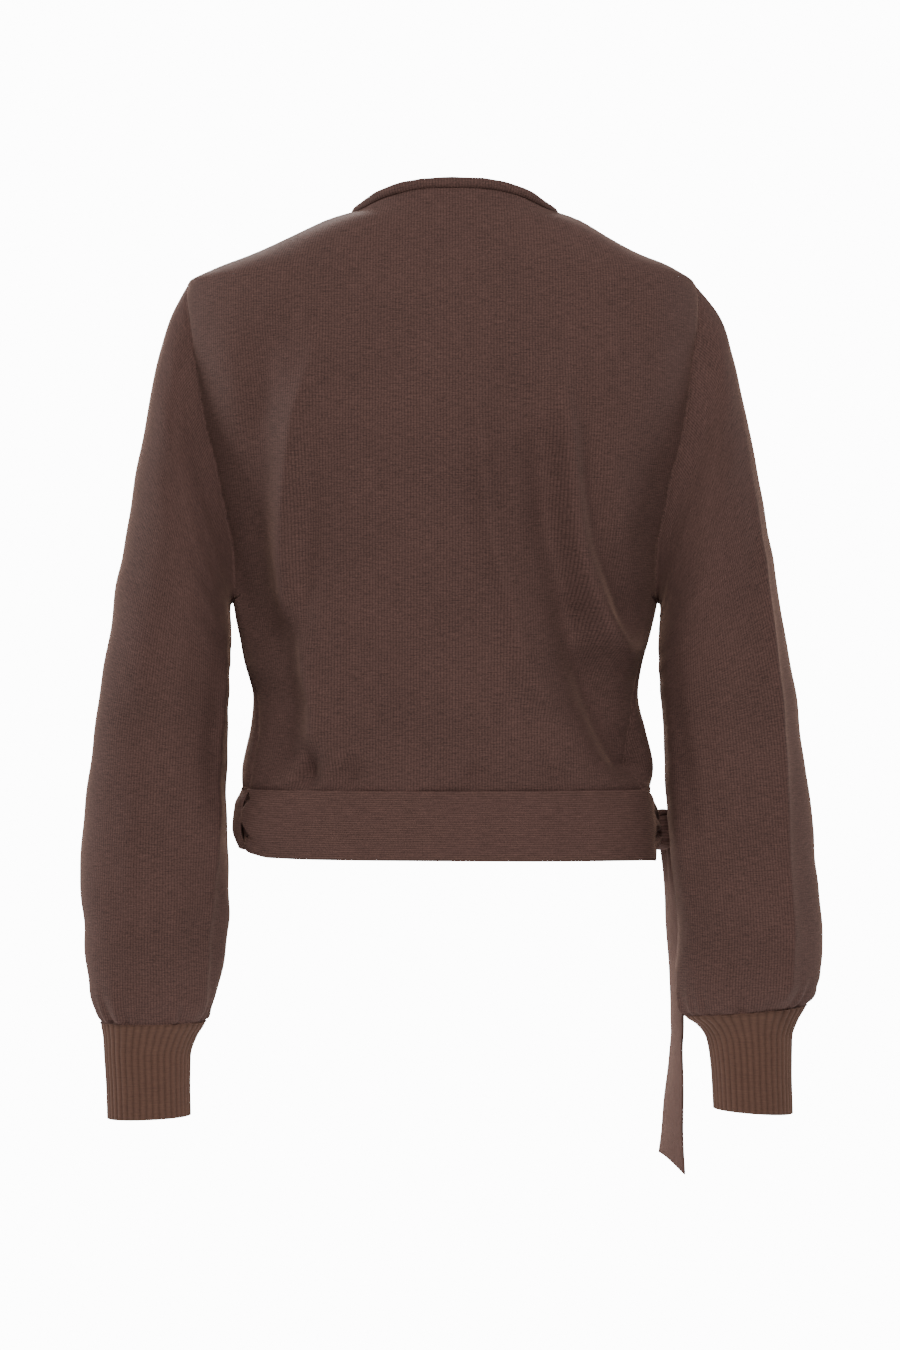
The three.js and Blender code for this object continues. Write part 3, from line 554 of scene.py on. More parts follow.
# The pressed fold of each sleeve: its turn at rows of the table, its width in degrees and its height
SLEEVE_RIDGE = {
    True: (curve((4, 7, 9, 12, 14), (158, 154, 149, 141, 146)), 15, 5),
    False: (curve((3, 7, 11, 14), (32, 50, 62, 64)), 13, 9),
}


def sleeve_height(is_left, row, turn):
    """Height of the pressed fold, the gathers over the cuff and the ripples of a sleeve."""
    ridge, width, height = SLEEVE_RIDGE[is_left]
    away = (turn - ridge(row) + 180) % 360 - 180
    pressed = smooth(2, 7, row) * (1 - smooth(CUFF_ROW - 1.5, CUFF_ROW, row))
    peak = np.exp(-np.sqrt((away / width) ** 2 * 2 + 0.015) + 0.12)
    total = height * pressed * peak
    chance = np.random.default_rng(11 if is_left else 12)
    gathers = 0
    for count in (12, 17, 23, 31):
        phase = chance.uniform(0, 360)
        gathers = gathers + np.cos(np.radians(count * turn + phase)) * (14 / count) ** 0.5
    drawn = smooth(CUFF_ROW - 2.4, CUFF_ROW - 0.35, row) * smooth(CUFF_ROW, CUFF_ROW - 0.25, row)
    total = total + 0.75 * gathers * drawn
    full = smooth(0, 2.5, row) * smooth(CUFF_ROW, CUFF_ROW - 2, row)
    c, s = np.cos(np.radians(turn)), np.sin(np.radians(turn))
    uneven = ripples(55 * c, row * 40 + 9 * s, 7 + is_left, 48, 0.5)
    folds = ripples(90 * c + 60 * s, row * 13, 27 + is_left, 70, 1.2)
    return total + full * (uneven + folds * smooth(4, 9, row))


left_sleeve = sleeve_surface(True)
right_sleeve = sleeve_surface(False)


# How far round the body's plain form a place lies from a given turn
ARC_STEP = 2.0
LEVELS = np.arange(-20, 484, ARC_STEP)
TURNS = np.arange(-220, 221, ARC_STEP)
ring_points = plain_point(TURNS[None, :], LEVELS[:, None])
ring_steps = np.linalg.norm(np.diff(ring_points, axis=1), axis=-1)
ARCS = np.concatenate([np.zeros((len(LEVELS), 1)), np.cumsum(ring_steps, 1)], 1)


def arc_from(zero, turn, down):
    def looked_up(turn, down):
        i = np.clip((down - LEVELS[0]) / ARC_STEP, 0, len(LEVELS) - 1.001)
        j = np.clip((turn - TURNS[0]) / ARC_STEP, 0, len(TURNS) - 1.001)
        i0, j0 = i.astype(int), j.astype(int)
        fi, fj = i - i0, j - j0
        low = mix(ARCS[i0, j0], ARCS[i0, j0 + 1], fj)
        return mix(low, mix(ARCS[i0 + 1, j0], ARCS[i0 + 1, j0 + 1], fj), fi)

    turn, down = np.broadcast_arrays(np.asarray(turn, float), np.asarray(down, float))
    return looked_up(turn, down) - looked_up(0 * turn + zero, down)


def grid_normals(p, ringed, away):
    if ringed:
        across = np.roll(p, -1, 1) - np.roll(p, 1, 1)
    else:
        across = np.gradient(p, axis=1)
    n = unit(np.cross(across, np.gradient(p, axis=0)))
    return -n if np.sum(n * away) < 0 else n


def edge_distance(p, side):
    """Distance of each place of a grid from one of its four sides, measured along the cloth."""
    axis = 0 if side in ("bottom", "top") else 1
    steps = np.linalg.norm(np.diff(p, axis=axis), axis=-1)
    start = np.zeros_like(np.take(steps, [0], axis))
    if side in ("bottom", "start"):
        return np.concatenate([start, np.cumsum(steps, axis)], axis)
    back = np.flip(np.cumsum(np.flip(steps, axis), axis), axis)
    return np.concatenate([back, start], axis)


def seam_dip(distance):
    """Two pieces meet level at their seam and sink just beside it."""
    share = distance / SEAM_WIDTH
    return SEAM_DEPTH * share * np.exp(1 - share)


def cloth(name, p, uv, away, ringed=False, seams=(), relief=0):
    """A closed wall of cloth from a grid of places on its face.

    uv holds millimetres across and along the wales, with one column more than a ringed grid has.
    """
    n = grid_normals(p, ringed, away)
    inner = p - n * WALL
    dip = sum(seam_dip(edge_distance(p, side)) for side in seams)
    height = np.zeros(p.shape[:2]) + relief - dip
    p = p + n * height[..., None]
    rows, cols = p.shape[:2]
    grid = ring_grid(rows, cols) if ringed else np.arange(rows * cols).reshape(rows, cols)
    uv_grid = np.arange(uv.shape[0] * uv.shape[1]).reshape(uv.shape[:2])
    count = rows * cols
    faces = [quads(grid), quads(grid)[:, ::-1] + count]
    places = [quads(uv_grid), quads(uv_grid)[:, ::-1]]
    points = [p.reshape(-1, 3), inner.reshape(-1, 3)]
    made = 2 * count
    if ringed:
        onward, backward = slice(None), slice(None, None, -1)
        rims = [(0, onward, 1), (-1, backward, -2)]
        loops = [(grid[rim, way], uv_grid[rim, way], grid[inside, way]) for rim, way, inside in rims]
    else:
        def around(g):
            return np.concatenate([g[0, :-1], g[:-1, -1], g[-1, :0:-1], g[:0:-1, 0], g[:1, 0]])

        inward = grid.copy()
        inward[0], inward[-1] = grid[1], grid[-2]
        inward[1:-1, 0], inward[1:-1, -1] = grid[1:-1, 1], grid[1:-1, -2]
        loops = [(around(grid), around(uv_grid), around(inward))]
    for rim, rim_uv, inside in loops:
        outer_rim, inner_rim = points[0][rim[:-1]], points[1][rim[:-1]]
        beyond = unit(outer_rim - points[0][inside[:-1]])
        middle = (outer_rim + inner_rim) / 2 + beyond * WALL * 0.3
        points.append(middle)
        m = np.arange(made, made + len(middle))
        m = np.append(m, m[0])
        made += len(middle)
        faces.append(np.stack([rim[1:], rim[:-1], m[:-1], m[1:]], -1))
        faces.append(np.stack([m[1:], m[:-1], rim[:-1] + count, rim[1:] + count], -1))
        places += [np.stack([rim_uv[1:], rim_uv[:-1], rim_uv[:-1], rim_uv[1:]], -1)] * 2
    face_uv = uv.reshape(-1, 2)[np.concatenate(places)]
    return solid(name, np.concatenate(points), np.concatenate(faces), face_uv)


def solid(name, points, faces, uv):
    """A smooth mesh object from points in millimetres, turned so that its faces point out."""
    a, b, c, d = (points[faces[:, k]] for k in range(4))
    volume = np.sum(a * np.cross(b, c)) + np.sum(a * np.cross(c, d))
    if volume < 0:
        faces, uv = faces[:, ::-1], uv[:, ::-1]
    mesh = bpy.data.meshes.new(name)
    mesh.from_pydata((points * MM).tolist(), [], faces.tolist())
    layer = mesh.uv_layers.new(name="Cloth")
    layer.data.foreach_set("uv", (uv.reshape(-1, 2) * MM).astype(np.float32).ravel())
    mesh.polygons.foreach_set("use_smooth", np.ones(len(faces), bool))
    mesh.update()
    made = bpy.data.objects.new(name, mesh)
    bpy.context.scene.collection.objects.link(made)
    return made


def outward_from_axis(p):
    return p * [1, 1, 0]


# Panels of the body
def side_places(is_left, is_back, t):
    """Turn and level of a panel's outer side; t counts steps from the panel's lower end up."""
    belt_step = HEM_STEPS if is_back else 0
    arm_step = belt_step + SIDE_STEPS
    down = np.where(
        t < belt_step,
        mix(HEM, BELT_TOP, t / HEM_STEPS),
        mix(BELT_TOP, ARMPIT, np.clip((t - belt_step) / SIDE_STEPS, 0, 1)),
    )
    slit = SLIT_HALF_TURN * np.clip((down - BELT_TOP) / 4, 0, 1) if is_left else 0
    turn = seam_turn(down) + slit
    turn = turn if is_left else 180 - turn
    half_way_round = 180 if is_back else -180
    arm_turn, arm_down = armhole_place(
        is_left, half_way_round * (1 - np.clip((t - arm_step) / ARM_STEPS, 0, 1))
    )
    on_arm = t > arm_step
    return np.where(on_arm, arm_turn, turn), np.where(on_arm, arm_down, down)


def denser_ends(steps, cuts):
    """Even stations with a few closer ones at both ends, where a seam sinks in."""
    even = np.arange(0, steps * cuts + 1) / cuts
    extra = np.array([0.25, 0.5, 0.75, 1.5]) / cuts
    return np.unique(np.concatenate([even, extra, steps - extra]).round(6))


def back_panel():
    steps_up = HEM_STEPS + SIDE_STEPS + ARM_STEPS
    t = denser_ends(steps_up, PANEL_CUTS)[:, None]
    j = denser_ends(BACK_STEPS, PANEL_CUTS)[None, :]
    up, s = t / steps_up, j / BACK_STEPS
    left_turn, left_down = side_places(True, True, t)
    right_turn, _ = side_places(False, True, t)
    first, last = SHOULDER_STEPS, BACK_STEPS - SHOULDER_STEPS
    neck_turn = 180 * (j - first) / (last - first)
    top_turn = np.where(j < first, 0, np.where(j > last, 180, neck_turn))
    on_shoulder = (j < first) | (j > last)
    shoulder_down = SHOULDER_TIP * (1 - np.where(j < first, j, BACK_STEPS - j) / SHOULDER_STEPS)
    top_down = np.where(on_shoulder, shoulder_down, neck_down(np.clip(neck_turn, 0, 180)))
    inside = smooth(0, 0.35, np.minimum(s, 1 - s))
    side_down = mix(left_down, mix(HEM, SHOULDER_TIP, up), inside)
    lifted = up**2.5
    turn = mix(left_turn, right_turn, s) + lifted * (top_turn - 180 * s)
    down = side_down + lifted * (top_down - SHOULDER_TIP)
    down = np.minimum(down, curves(BELT, "turn").bottom(turn) - 1.5)
    p = body_point(turn, down)
    uv = np.stack([-arc_from(90, turn, down), -down], -1)
    return cloth("back_panel_knit", p, uv, outward_from_axis(p), seams=("start", "end", "top"))


def front_panel(is_left):
    steps_up, steps_across = SIDE_STEPS + ARM_STEPS, FRONT_STEPS[is_left]
    t = denser_ends(steps_up, PANEL_CUTS)[:, None]
    s = denser_ends(steps_across, FRONT_CUTS)[None, :] / steps_across
    up = t / steps_up
    outer_turn, outer_down = side_places(is_left, False, t)
    edge_down = wrap_edge_down(up)
    edge_x = wrap_edge_x(edge_down, is_left)
    inner_turn = front_turn(edge_x if is_left else -edge_x, edge_down)
    if not is_left:
        outer_turn = np.where(outer_turn > 0, outer_turn - 360, outer_turn)
    inside = smooth(0, 0.6, s) * (1 - up**6)
    down = mix(mix(outer_down, mix(BELT_TOP, SHOULDER_TIP, up), inside), edge_down, s)
    turn = mix(outer_turn, inner_turn, s)
    lift = over_lift(turn) if is_left else under_lift(turn)
    p = body_point(turn, down, lift, is_left)
    uv = np.stack([-arc_from(-90, turn, down), -down], -1)
    name = "over_front_knit" if is_left else "under_front_knit"
    return cloth(name, p, uv, outward_from_axis(p), seams=("start", "end", "top", "bottom"))


def strip(name, edges, relief, drawn_in=np.zeros_like):
    """A band round the body, whose wales run along it.

    relief gives its height over the plain band, and drawn_in the degrees by which it lifts later.
    """
    edge = curves(edges, "turn")
    first, last = edges["turn"][0], edges["turn"][-1]
    turn = np.linspace(first, last, STRIP_STATIONS)[:, None]
    share = np.linspace(0, 1, STRIP_CELLS + 1)[None, :]
    down = mix(edge.bottom(turn), edge.top(turn), share)
    height = edge.lift(turn - drawn_in(share)) + relief(turn, share)
    p = plain_point(turn, down) + plain_normal(turn, down) * height[..., None]
    uv = np.stack([STRIP_HEIGHT * share + 0 * turn, -arc_from(90, turn, down)], -1)
    return cloth(name, p, uv, outward_from_axis(p))


def slit_hollows(share):
    """How many degrees later the belt rises out of the slit: two dark hollows open beside its rim."""
    upper = 3.0 * bell((share - 0.84) / 0.12)
    lower = 3.4 * bell((share - 0.3) / 0.13)
    return upper + lower - 0.6


# Creases that fan out of the slit over a share of the belt's height
SLIT_CREASES = table(
    "share slope depth last_turn",
    (0.3, -0.012, 1.9, 26),
    (0.86, -0.02, 1.2, 24),
    (0.58, -0.006, 0.8, 34),
)


def belt_relief(turn, share):
    """Creases that fan out of the slit, the pull of the knot, and soft waves between."""
    fan = 0
    for start, slope, depth, last_turn in zip(*SLIT_CREASES.values()):
        line = start + slope * (turn - 15)
        ends = smooth(last_turn, 15, turn) * smooth(12, 15, turn)
        fan = fan - depth * bell((share - line) / 0.045) * ends
    pull = smooth(170, 189, turn)
    drawn = 1.1 * np.sin(2 * np.pi * (share * 2.2 + 0.1)) * pull
    waves = ripples(turn * 1.6, share * 30, 41, 55, 0.35) * smooth(18, 34, turn) * smooth(188, 165, turn)
    bulge = 2.4 * bell((turn - 24) / 7) * np.sin(np.pi * share) ** 0.6
    top = -1.0 * bell((1 - share) * STRIP_HEIGHT / 6) * smooth(15, 20, turn)
    return fan + drawn + waves + top + bulge


def band_relief(turn, share):
    return ripples(turn * 1.6, share * 30, 43, 50, 0.25)


# Sleeves and cuffs
def sleeve_part(name, is_left, rows, around, ribbed):
    """The wall of a sleeve or a cuff over some rows of the table, with its seam on the inner side."""
    surface = left_sleeve if is_left else right_sleeve
    turn = (180 + 360 * np.arange(around) / around)[None, :]
    rows = rows[:, None]
    p = surface(rows, turn)
    steps = np.linalg.norm(np.roll(p, -1, 1) - p, axis=-1)
    arcs = np.concatenate([np.zeros((len(rows), 1)), np.cumsum(steps, 1)], 1)
    back_column = around * 3 // 4
    arcs = arcs - arcs[:, [back_column]]
    if ribbed:
        arcs = np.broadcast_to(np.linspace(0, RIBS * WALE, around + 1) + WALE / 2, arcs.shape)
    uv = np.stack([arcs, -line_length(p[:, back_column])[:, None] + 0 * arcs], -1)
    away = p - p.mean(1, keepdims=True)
    if ribbed:
        relief = RIB_HEIGHT * np.abs(np.sin(np.pi * RIBS * (turn - 180) / 360)) ** 0.8
        return cloth(name, p, uv, away, ringed=True, seams=("bottom",), relief=relief)
    from_seam = np.minimum(arcs[:, :-1] - arcs[:, :1], arcs[:, -1:] - arcs[:, :-1])
    relief = -SEAM_DEPTH * bell(from_seam / SLEEVE_SEAM_WIDTH)
    return cloth(name, p, uv, away, ringed=True, seams=("bottom", "top"), relief=relief)


def sleeve(is_left):
    name = "sleeve_left_knit" if is_left else "sleeve_right_knit"
    return sleeve_part(name, is_left, denser_ends(CUFF_ROW, SLEEVE_CUTS), SLEEVE_SIDES, False)


def cuff(is_left):
    name = "cuff_left_rib" if is_left else "cuff_right_rib"
    last = len(LEFT_SLEEVE["half"]) - 1
    rows = CUFF_ROW + denser_ends(last - CUFF_ROW, CUFF_CUTS)
    return sleeve_part(name, is_left, rows, RIBS * RIB_SIDES, True)


# Rolled edges
def rolled_edge(name, centre, out, half_height, half_thickness):
    """A closed roll round a line of centres, with its own size at each of them."""
    along = unit(np.gradient(centre, axis=0))
    high = unit(np.cross(along, out))
    out = unit(np.cross(high, along))
    angle = 2 * np.pi * np.arange(ROLL_SIDES) / ROLL_SIDES
    c, s = np.cos(angle)[None, :, None], np.sin(angle)[None, :, None]
    rings = centre[:, None] + high[:, None] * c * half_height[:, None, None]
    rings = rings + out[:, None] * s * half_thickness[:, None, None]
    turned = np.linspace(0, 2 * np.pi * ROLL_RADIUS, ROLL_SIDES + 1)
    rows = len(centre)
    uv = np.stack(np.broadcast_arrays(line_length(centre)[:, None], turned[None, :]), -1)
    grid = ring_grid(rows, ROLL_SIDES)
    uv_grid = np.arange(rows * (ROLL_SIDES + 1)).reshape(rows, ROLL_SIDES + 1)
    points = [rings.reshape(-1, 3), centre[:1], centre[-1:]]
    first_tip, last_tip = rows * ROLL_SIDES, rows * ROLL_SIDES + 1
    pair = np.arange(0, ROLL_SIDES, 2)
    onward, backward = (pair, pair + 1, pair + 2), (pair + 2, pair + 1, pair)

    def cap(ring, way, tip):
        return np.stack([*(ring[k] for k in way), tip + 0 * pair], -1)

    faces = [quads(grid), cap(grid[0], backward, first_tip), cap(grid[-1], onward, last_tip)]
    first_uv, last_uv = uv_grid[0], uv_grid[-1]
    places = [quads(uv_grid), cap(first_uv, backward, first_uv[pair]), cap(last_uv, onward, last_uv[pair])]
    face_uv = uv.reshape(-1, 2)[np.concatenate(places)]
    return solid(name, np.concatenate(points), np.concatenate(faces), face_uv)


def roll_along(name, edge_at, share, sink, half_thickness, on_shoulder):
    """A rolled edge along a cloth's edge. Near the shoulders it leans out over the cloth."""
    point, out = edge_at(share)
    along = unit(edge_at(share + 0.004)[0] - edge_at(share - 0.004)[0])
    beyond = unit(np.cross(out, along))
    clear = mix(ROLL_CLEAR, SHOULDER_CLEAR, on_shoulder)
    sink = mix(sink, SHOULDER_SINK, on_shoulder)
    centre = point + beyond * clear[:, None] - out * sink[:, None]
    wobble = 1 + ripples(share * 400, 0 * share, 61, 40, 0.04)
    size = wobble * mix(1, SHOULDER_SIZE, on_shoulder)
    return rolled_edge(name, centre, out, ROLL_HALF_HEIGHT * size, half_thickness * size)


def neck_roll():
    def edge_at(share):
        turn = 180 * np.clip(share, 0, 1)
        down = neck_down(turn)
        return body_point(turn, down), plain_normal(turn, down)

    share = np.linspace(0, 1, NECK_ROLL_STATIONS)
    sink = np.full(share.shape, WALL / 2)
    thick = np.full(share.shape, NECK_ROLL_THICKER * ROLL_HALF_THICKNESS)
    on_shoulder = 1 - smooth(0, 0.22, np.minimum(share, 1 - share))
    return roll_along("neck_roll_knit", edge_at, share, sink, thick, on_shoulder)


def wrap_roll(is_left):
    crossing = BELT_TOP * (body.left(0.0) / (body.left(0.0) + WRAP_REACH)) ** (1 / WRAP_POWER)

    def down_at(share):
        return wrap_edge_down(share if is_left else 1 - share)

    def edge_at(share):
        down = down_at(share)
        x = wrap_edge_x(down, is_left)
        turn = front_turn(x if is_left else -x, down)
        lift = over_lift(turn) if is_left else under_lift(turn)
        return body_point(turn, down, lift, is_left), plain_normal(turn, down)

    even = np.linspace(0, 1, WRAP_ROLL_STATIONS)
    share = 1 - (1 - even) ** 2 if is_left else even**2
    covered = 0 * share if is_left else smooth(crossing - 45, crossing - 15, down_at(share))
    sink = mix(OPEN_SINK, HIDDEN_SINK, covered)
    thick = mix(ROLL_HALF_THICKNESS, HIDDEN_HALF_THICKNESS, covered)
    name = "edge_roll_over_knit" if is_left else "edge_roll_under_knit"
    on_shoulder = 1 - smooth(0, 30, down_at(share))
    return roll_along(name, edge_at, share, sink, thick, on_shoulder)


# The knot and the ends of the ties
def joined(name, parts):
    points, faces, uv, count = [], [], [], 0
    for p, f, u in parts:
        points.append(p)
        faces.append(f + count)
        uv.append(u)
        count += len(p)
    return solid(name, np.concatenate(points), np.concatenate(faces), np.concatenate(uv))


def tube(centre, out, half_width, half_thickness):
    """A flattened tube along a closed ring of centres: its points, faces and their cloth places."""
    along = unit(np.roll(centre, -1, 0) - np.roll(centre, 1, 0))
    wide = unit(np.cross(along, out))
    out = unit(np.cross(wide, along))
    angle = 2 * np.pi * np.arange(TUBE_SIDES) / TUBE_SIDES
    c, s = np.cos(angle), np.sin(angle)
    n = TUBE_FLATNESS
    r = (np.abs(c) ** n + np.abs(s) ** n) ** (-1 / n)
    c, s = (r * c)[None, :, None], (r * s)[None, :, None]
    rings = centre[:, None] + wide[:, None] * c * half_width + out[:, None] * s * half_thickness
    rows = len(centre)
    grid = ring_grid(rows, TUBE_SIDES)
    grid = np.concatenate([grid, grid[:1]], 0)
    uv_grid = np.arange((rows + 1) * (TUBE_SIDES + 1)).reshape(rows + 1, TUBE_SIDES + 1)
    length = np.linspace(0, KNOT_TURN_LENGTH, rows + 1)[:, None]
    turned = np.linspace(0, 4 * half_width, TUBE_SIDES + 1)[None, :]
    uv = np.stack(np.broadcast_arrays(turned, length), -1).reshape(-1, 2)
    return rings.reshape(-1, 3), quads(grid), uv[quads(uv_grid)]


def knot():
    centre = np.array([KNOT.x, KNOT.y, -KNOT.down], float)
    out = unit(np.array([KNOT.x, KNOT.y, 0.0]))
    up = np.array([0.0, 0.0, 1.0])
    side = np.cross(up, out)
    parts = []
    angle = 2 * np.pi * np.arange(KNOT_STATIONS) / KNOT_STATIONS
    c, s = np.cos(angle)[:, None], np.sin(angle)[:, None]
    for tilt, radius, offset, half_width, half_thickness in zip(*KNOT_TURNS.values()):
        way = up * np.cos(tilt) + side * np.sin(tilt)
        path = centre + out * (c * (radius - 0.5) + offset) + way * s * (radius + 1.5)
        parts.append(tube(path, out * c + way * s, half_width, half_thickness))
    return joined("knot_knit", parts)


def tail(name, edges):
    """A hanging end of a tie, bunched at the knot and rounded at its lower end."""
    at = curves(edges, "down")
    share = np.linspace(0, 1, TAIL_STATIONS)[:, None]
    down = mix(edges["down"][0], edges["down"][-1], share)
    side = np.linspace(-1, 1, TAIL_CELLS + 1)[None, :]
    angle = np.radians(at.turn(down))
    reach = side * at.width(down) / 2
    bend = 1.2 * (1 - side**2) + ripples(side * 20, down, 71, 60, 0.5) * smooth(0, 0.15, share)
    bend = bend + 2.2 * np.sin(2 * np.pi * side * 1.3) * smooth(0.2, 0, share)
    x = at.x(down) - reach * np.sin(angle) + bend * np.cos(angle)
    y = at.y(down) + reach * np.cos(angle) + bend * np.sin(angle)
    lower = share * TAIL_SLANT * side - 2.5 * smooth(0.85, 1, share) * (1 - side**2)
    p = np.stack([x, y, -down - lower], -1)
    away = np.stack([np.cos(angle), np.sin(angle), 0 * angle], -1) + 0 * p
    uv = np.stack([reach + 0 * down, -down + 0 * side], -1)
    return cloth(name, p, uv, away)


# Materials
def linear(red, green, blue):
    """A colour given from 0 to 255, as the shaders take it."""
    c = np.array([red, green, blue]) / 255
    c = np.where(c <= 0.04045, c / 12.92, ((c + 0.055) / 1.055) ** 2.4)
    return (*c, 1)


def add_node(tree, kind, *inputs, **settings):
    made = tree.nodes.new("ShaderNode" + kind)
    for key, value in settings.items():
        setattr(made, key, value)
    for socket, value in zip(made.inputs, inputs):
        if isinstance(value, bpy.types.NodeSocket):
            tree.links.new(value, socket)
        elif value is not None:
            socket.default_value = value
    return made.outputs[0]


# Sockets of the node that mixes two colours
COLOUR_A, COLOUR_B, COLOUR_MADE = 6, 7, 2


def knit(name, dark, light, wale=WALE, course=COURSE, contrast=1.0, painted_groove_shade=0.3, streaks=(95, 1400)):
    """Heathered fine knit: columns of leaning stitches, streaked across by the mixed yarn, with painted
    shade in the grooves between the columns.
    """
    material = bpy.data.materials.new(name)
    material.use_nodes = True
    tree = material.node_tree
    shader = tree.nodes["Principled BSDF"]

    def maths(operation, *values):
        return add_node(tree, "Math", *values, operation=operation)

    def noise(x_scale, y_scale, layer):
        scaled_x, scaled_y = maths("MULTIPLY", x, x_scale), maths("MULTIPLY", y, y_scale)
        at = add_node(tree, "CombineXYZ", scaled_x, scaled_y, layer)
        return add_node(tree, "TexNoise", at, None, 1.0, 2.0, 0.55)

    def about_zero(value, amount):
        return maths("MULTIPLY", maths("SUBTRACT", value, 0.5), amount)

    cloth_uv = tree.nodes.new("ShaderNodeUVMap")
    cloth_uv.uv_map = "Cloth"
    split = tree.nodes.new("ShaderNodeSeparateXYZ")
    tree.links.new(cloth_uv.outputs[0], split.inputs[0])
    x, y = split.outputs[0], split.outputs[1]

    wander = about_zero(noise(60, 25, 4.0), 0.5)
    column = maths("ADD", maths("MULTIPLY", x, 1000 / wale), wander)
    off = maths("MULTIPLY", maths("PINGPONG", column, 0.5), 2)
    rounded = maths("SUBTRACT", 1, maths("POWER", off, 2))
    row = maths("ADD", maths("MULTIPLY", y, 1000 / course), maths("MULTIPLY", off, -0.5))
    stitch = maths("PINGPONG", row, 0.5)

    streak = noise(*streaks, 1.0)
    speckle = noise(620, 900, 2.0)
    mottle = noise(14, 22, 3.0)
    mixed = maths("ADD", about_zero(streak, 1.35 * contrast), about_zero(speckle, 1.6 * contrast))
    mixed = maths("ADD", mixed, about_zero(mottle, 0.3 * contrast))
    share = add_node(tree, "Clamp", maths("ADD", mixed, 0.5), 0.0, 1.0)
    blended = tree.nodes.new("ShaderNodeMix")
    blended.data_type = "RGBA"
    tree.links.new(share, blended.inputs["Factor"])
    blended.inputs[COLOUR_A].default_value = linear(*dark)
    blended.inputs[COLOUR_B].default_value = linear(*light)
    # The grooves between the columns of stitches are darkened in the colour: painted shade.
    shade = maths("ADD", 1 - painted_groove_shade, maths("MULTIPLY", rounded, painted_groove_shade * 1.35))
    shaded = tree.nodes.new("ShaderNodeVectorMath")
    shaded.operation = "SCALE"
    tree.links.new(blended.outputs[COLOUR_MADE], shaded.inputs[0])
    tree.links.new(shade, shaded.inputs["Scale"])
    tree.links.new(shaded.outputs[0], shader.inputs["Base Color"])

    height = maths("ADD", maths("MULTIPLY", rounded, 0.6), maths("MULTIPLY", stitch, 0.5))
    height = maths("ADD", height, maths("MULTIPLY", speckle, 0.5))
    bump = tree.nodes.new("ShaderNodeBump")
    bump.inputs["Strength"].default_value = 0.75
    bump.inputs["Distance"].default_value = STITCH_DEPTH * MM
    tree.links.new(height, bump.inputs["Height"])
    tree.links.new(bump.outputs[0], shader.inputs["Normal"])
    rough = maths("ADD", 0.8, maths("MULTIPLY", speckle, 0.2))
    tree.links.new(rough, shader.inputs["Roughness"])
    shader.inputs["Specular IOR Level"].default_value = 0.18
    shader.inputs["Sheen Weight"].default_value = 0.3
    shader.inputs["Sheen Roughness"].default_value = 0.3
    shader.inputs["Sheen Tint"].default_value = linear(186, 148, 128)
    return material


fine = knit("fine knit", (59.5, 43, 39), (96, 69.5, 63.5))
belt_knit = knit("fine knit along the tie", (66, 47, 43), (99, 72, 65), wale=1.6, painted_groove_shade=0.35,
                 contrast=0.8, streaks=(900, 90))
rib = knit("rib knit", (71, 50, 42), (101, 73, 61), course=1.5, contrast=0.45, painted_groove_shade=0.22)


def dress(piece, node, material):
    piece.data.materials.append(material)
    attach(piece, "root")
    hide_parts(node)
    return piece


neck = dress(neck_roll(), "neck_roll", fine)
over_roll = dress(wrap_roll(True), "edge_roll_over", fine)
under_roll = dress(wrap_roll(False), "edge_roll_under", fine)
dress(knot(), "knot", belt_knit)
back = dress(back_panel(), "back_panel", fine)
over = dress(front_panel(True), "over_front", fine)
under = dress(front_panel(False), "under_front", fine)
sleeve_l = dress(sleeve(True), "sleeve_left", fine)
sleeve_r = dress(sleeve(False), "sleeve_right", fine)
cuff_l = dress(cuff(True), "cuff_left", rib)
cuff_r = dress(cuff(False), "cuff_right", rib)
belt = dress(strip("back_belt_knit", BELT, belt_relief, slit_hollows),
             "back_belt", belt_knit)
over_band = dress(strip("over_front_band_knit", OVER_BAND, band_relief),
                  "over_front_band", belt_knit)
under_band = dress(strip("under_front_band_knit", UNDER_BAND, band_relief),
                   "under_front_band", belt_knit)
long_tail = dress(tail("tie_tail_long_knit", LONG_TAIL), "tie_tail_long", belt_knit)
short_tail = dress(tail("tie_tail_short_knit", SHORT_TAIL), "tie_tail_short", belt_knit)

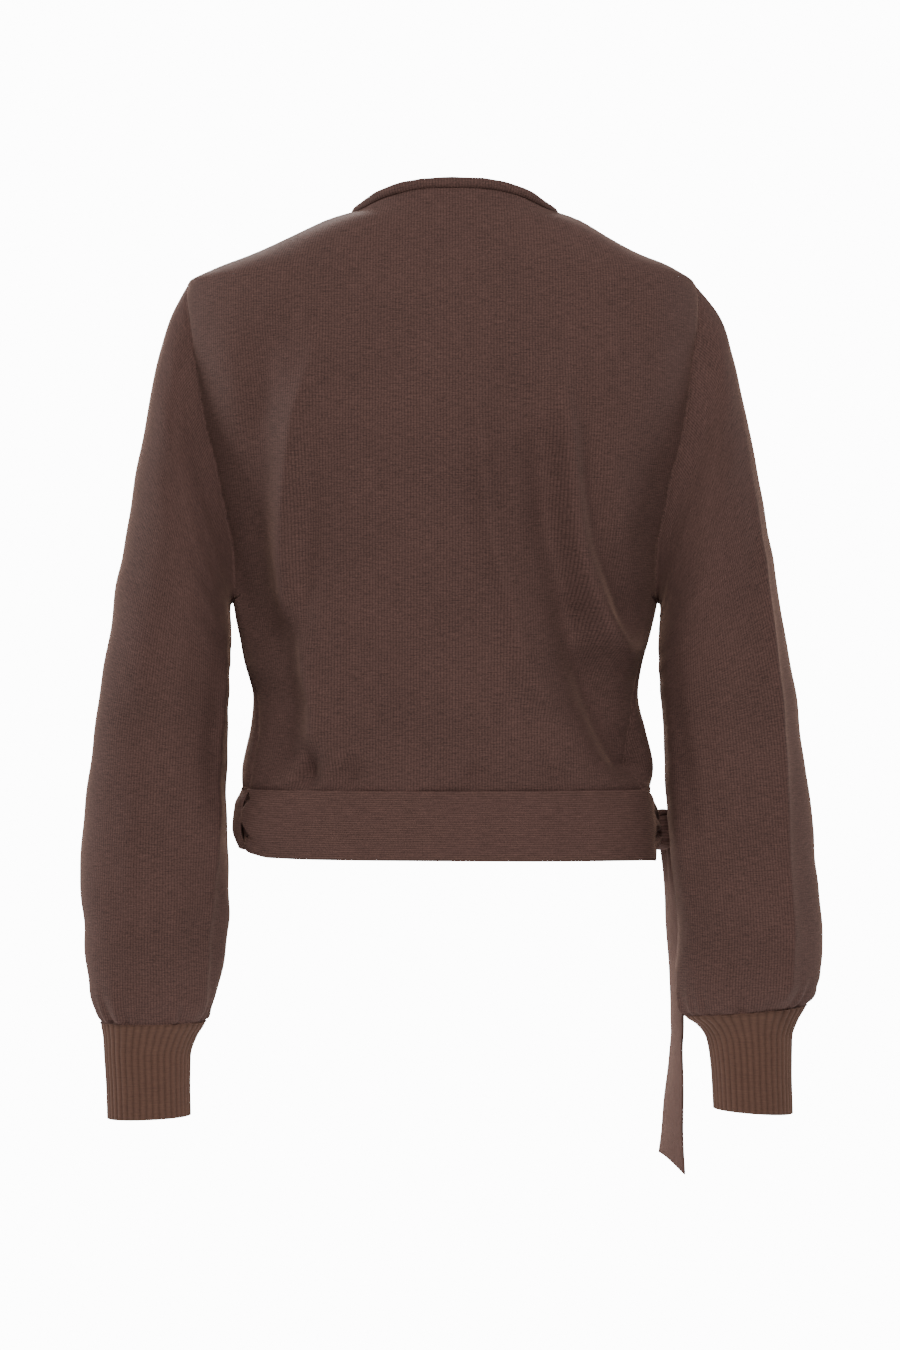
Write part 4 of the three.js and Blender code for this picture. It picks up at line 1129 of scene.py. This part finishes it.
# Floor, light and camera
floor_mesh = bpy.data.meshes.new("floor")
FLOOR_RADIUS, FLOOR_LEVEL, FLOOR_SIDES = 1.6, -1.15, 96
angles = np.linspace(0, 2 * np.pi, FLOOR_SIDES, endpoint=False)
floor_mesh.from_pydata(
    [(FLOOR_RADIUS * np.cos(a), FLOOR_RADIUS * np.sin(a), FLOOR_LEVEL) for a in angles],
    [], [tuple(range(FLOOR_SIDES))],
)
floor = bpy.data.objects.new("floor", floor_mesh)
bpy.context.scene.collection.objects.link(floor)
pale = bpy.data.materials.new("pale floor")
pale.use_nodes = True
pale_shader = pale.node_tree.nodes["Principled BSDF"]
pale_shader.inputs["Base Color"].default_value = (0.86, 0.86, 0.86, 1)
pale_shader.inputs["Roughness"].default_value = 0.9
pale_shader.inputs["Emission Color"].default_value = (1, 1, 1, 1)
pale_shader.inputs["Emission Strength"].default_value = 0.35
floor_mesh.materials.append(pale)

world = bpy.data.worlds.new("studio")
bpy.context.scene.world = world
world.use_nodes = True
sky = world.node_tree
around_light = sky.nodes["Background"]
around_light.inputs["Color"].default_value = (1, 1, 1, 1)
around_light.inputs["Strength"].default_value = 0.1
backdrop = sky.nodes.new("ShaderNodeBackground")
backdrop.inputs["Strength"].default_value = 16
chosen = sky.nodes.new("ShaderNodeMixShader")
rays = sky.nodes.new("ShaderNodeLightPath")
sky.links.new(rays.outputs["Is Camera Ray"], chosen.inputs[0])
sky.links.new(around_light.outputs[0], chosen.inputs[1])
sky.links.new(backdrop.outputs[0], chosen.inputs[2])
sky.links.new(chosen.outputs[0], sky.nodes["World Output"].inputs[0])


def area_light(name, place, aim, size, power):
    data = bpy.data.lights.new(name, "AREA")
    data.shape = "SQUARE"
    data.size = size
    data.energy = power
    lamp = bpy.data.objects.new(name, data)
    bpy.context.scene.collection.objects.link(lamp)
    lamp.location = place
    lamp.rotation_mode = "QUATERNION"
    lamp.rotation_quaternion = (Vector(aim) - Vector(place)).to_track_quat("-Z", "Y")


MIDDLE, UPPER = (0, 0, -0.35), (0, 0, -0.1)
area_light("back key", (-0.1, 2.8, 1.8), MIDDLE, 1.0, 117)
area_light("front key", (0.6, -2.8, 1.6), MIDDLE, 1.0, 96)
area_light("left side", (3.0, -1.0, 0.4), MIDDLE, 1.4, 94)
area_light("right side", (-3.0, -1.1, 0.4), MIDDLE, 1.4, 48)
area_light("overhead", (0, 0.3, 2.6), UPPER, 1.0, 10)

camera_data = bpy.data.cameras.new("camera")
camera_data.lens = 106.67
camera_data.sensor_width = 36
camera = bpy.data.objects.new("camera", camera_data)
bpy.context.scene.collection.objects.link(camera)
camera.location = (-0.0015, 3.0, -0.34575)
camera.rotation_euler = (np.pi / 2, 0, np.pi)
bpy.context.scene.camera = camera
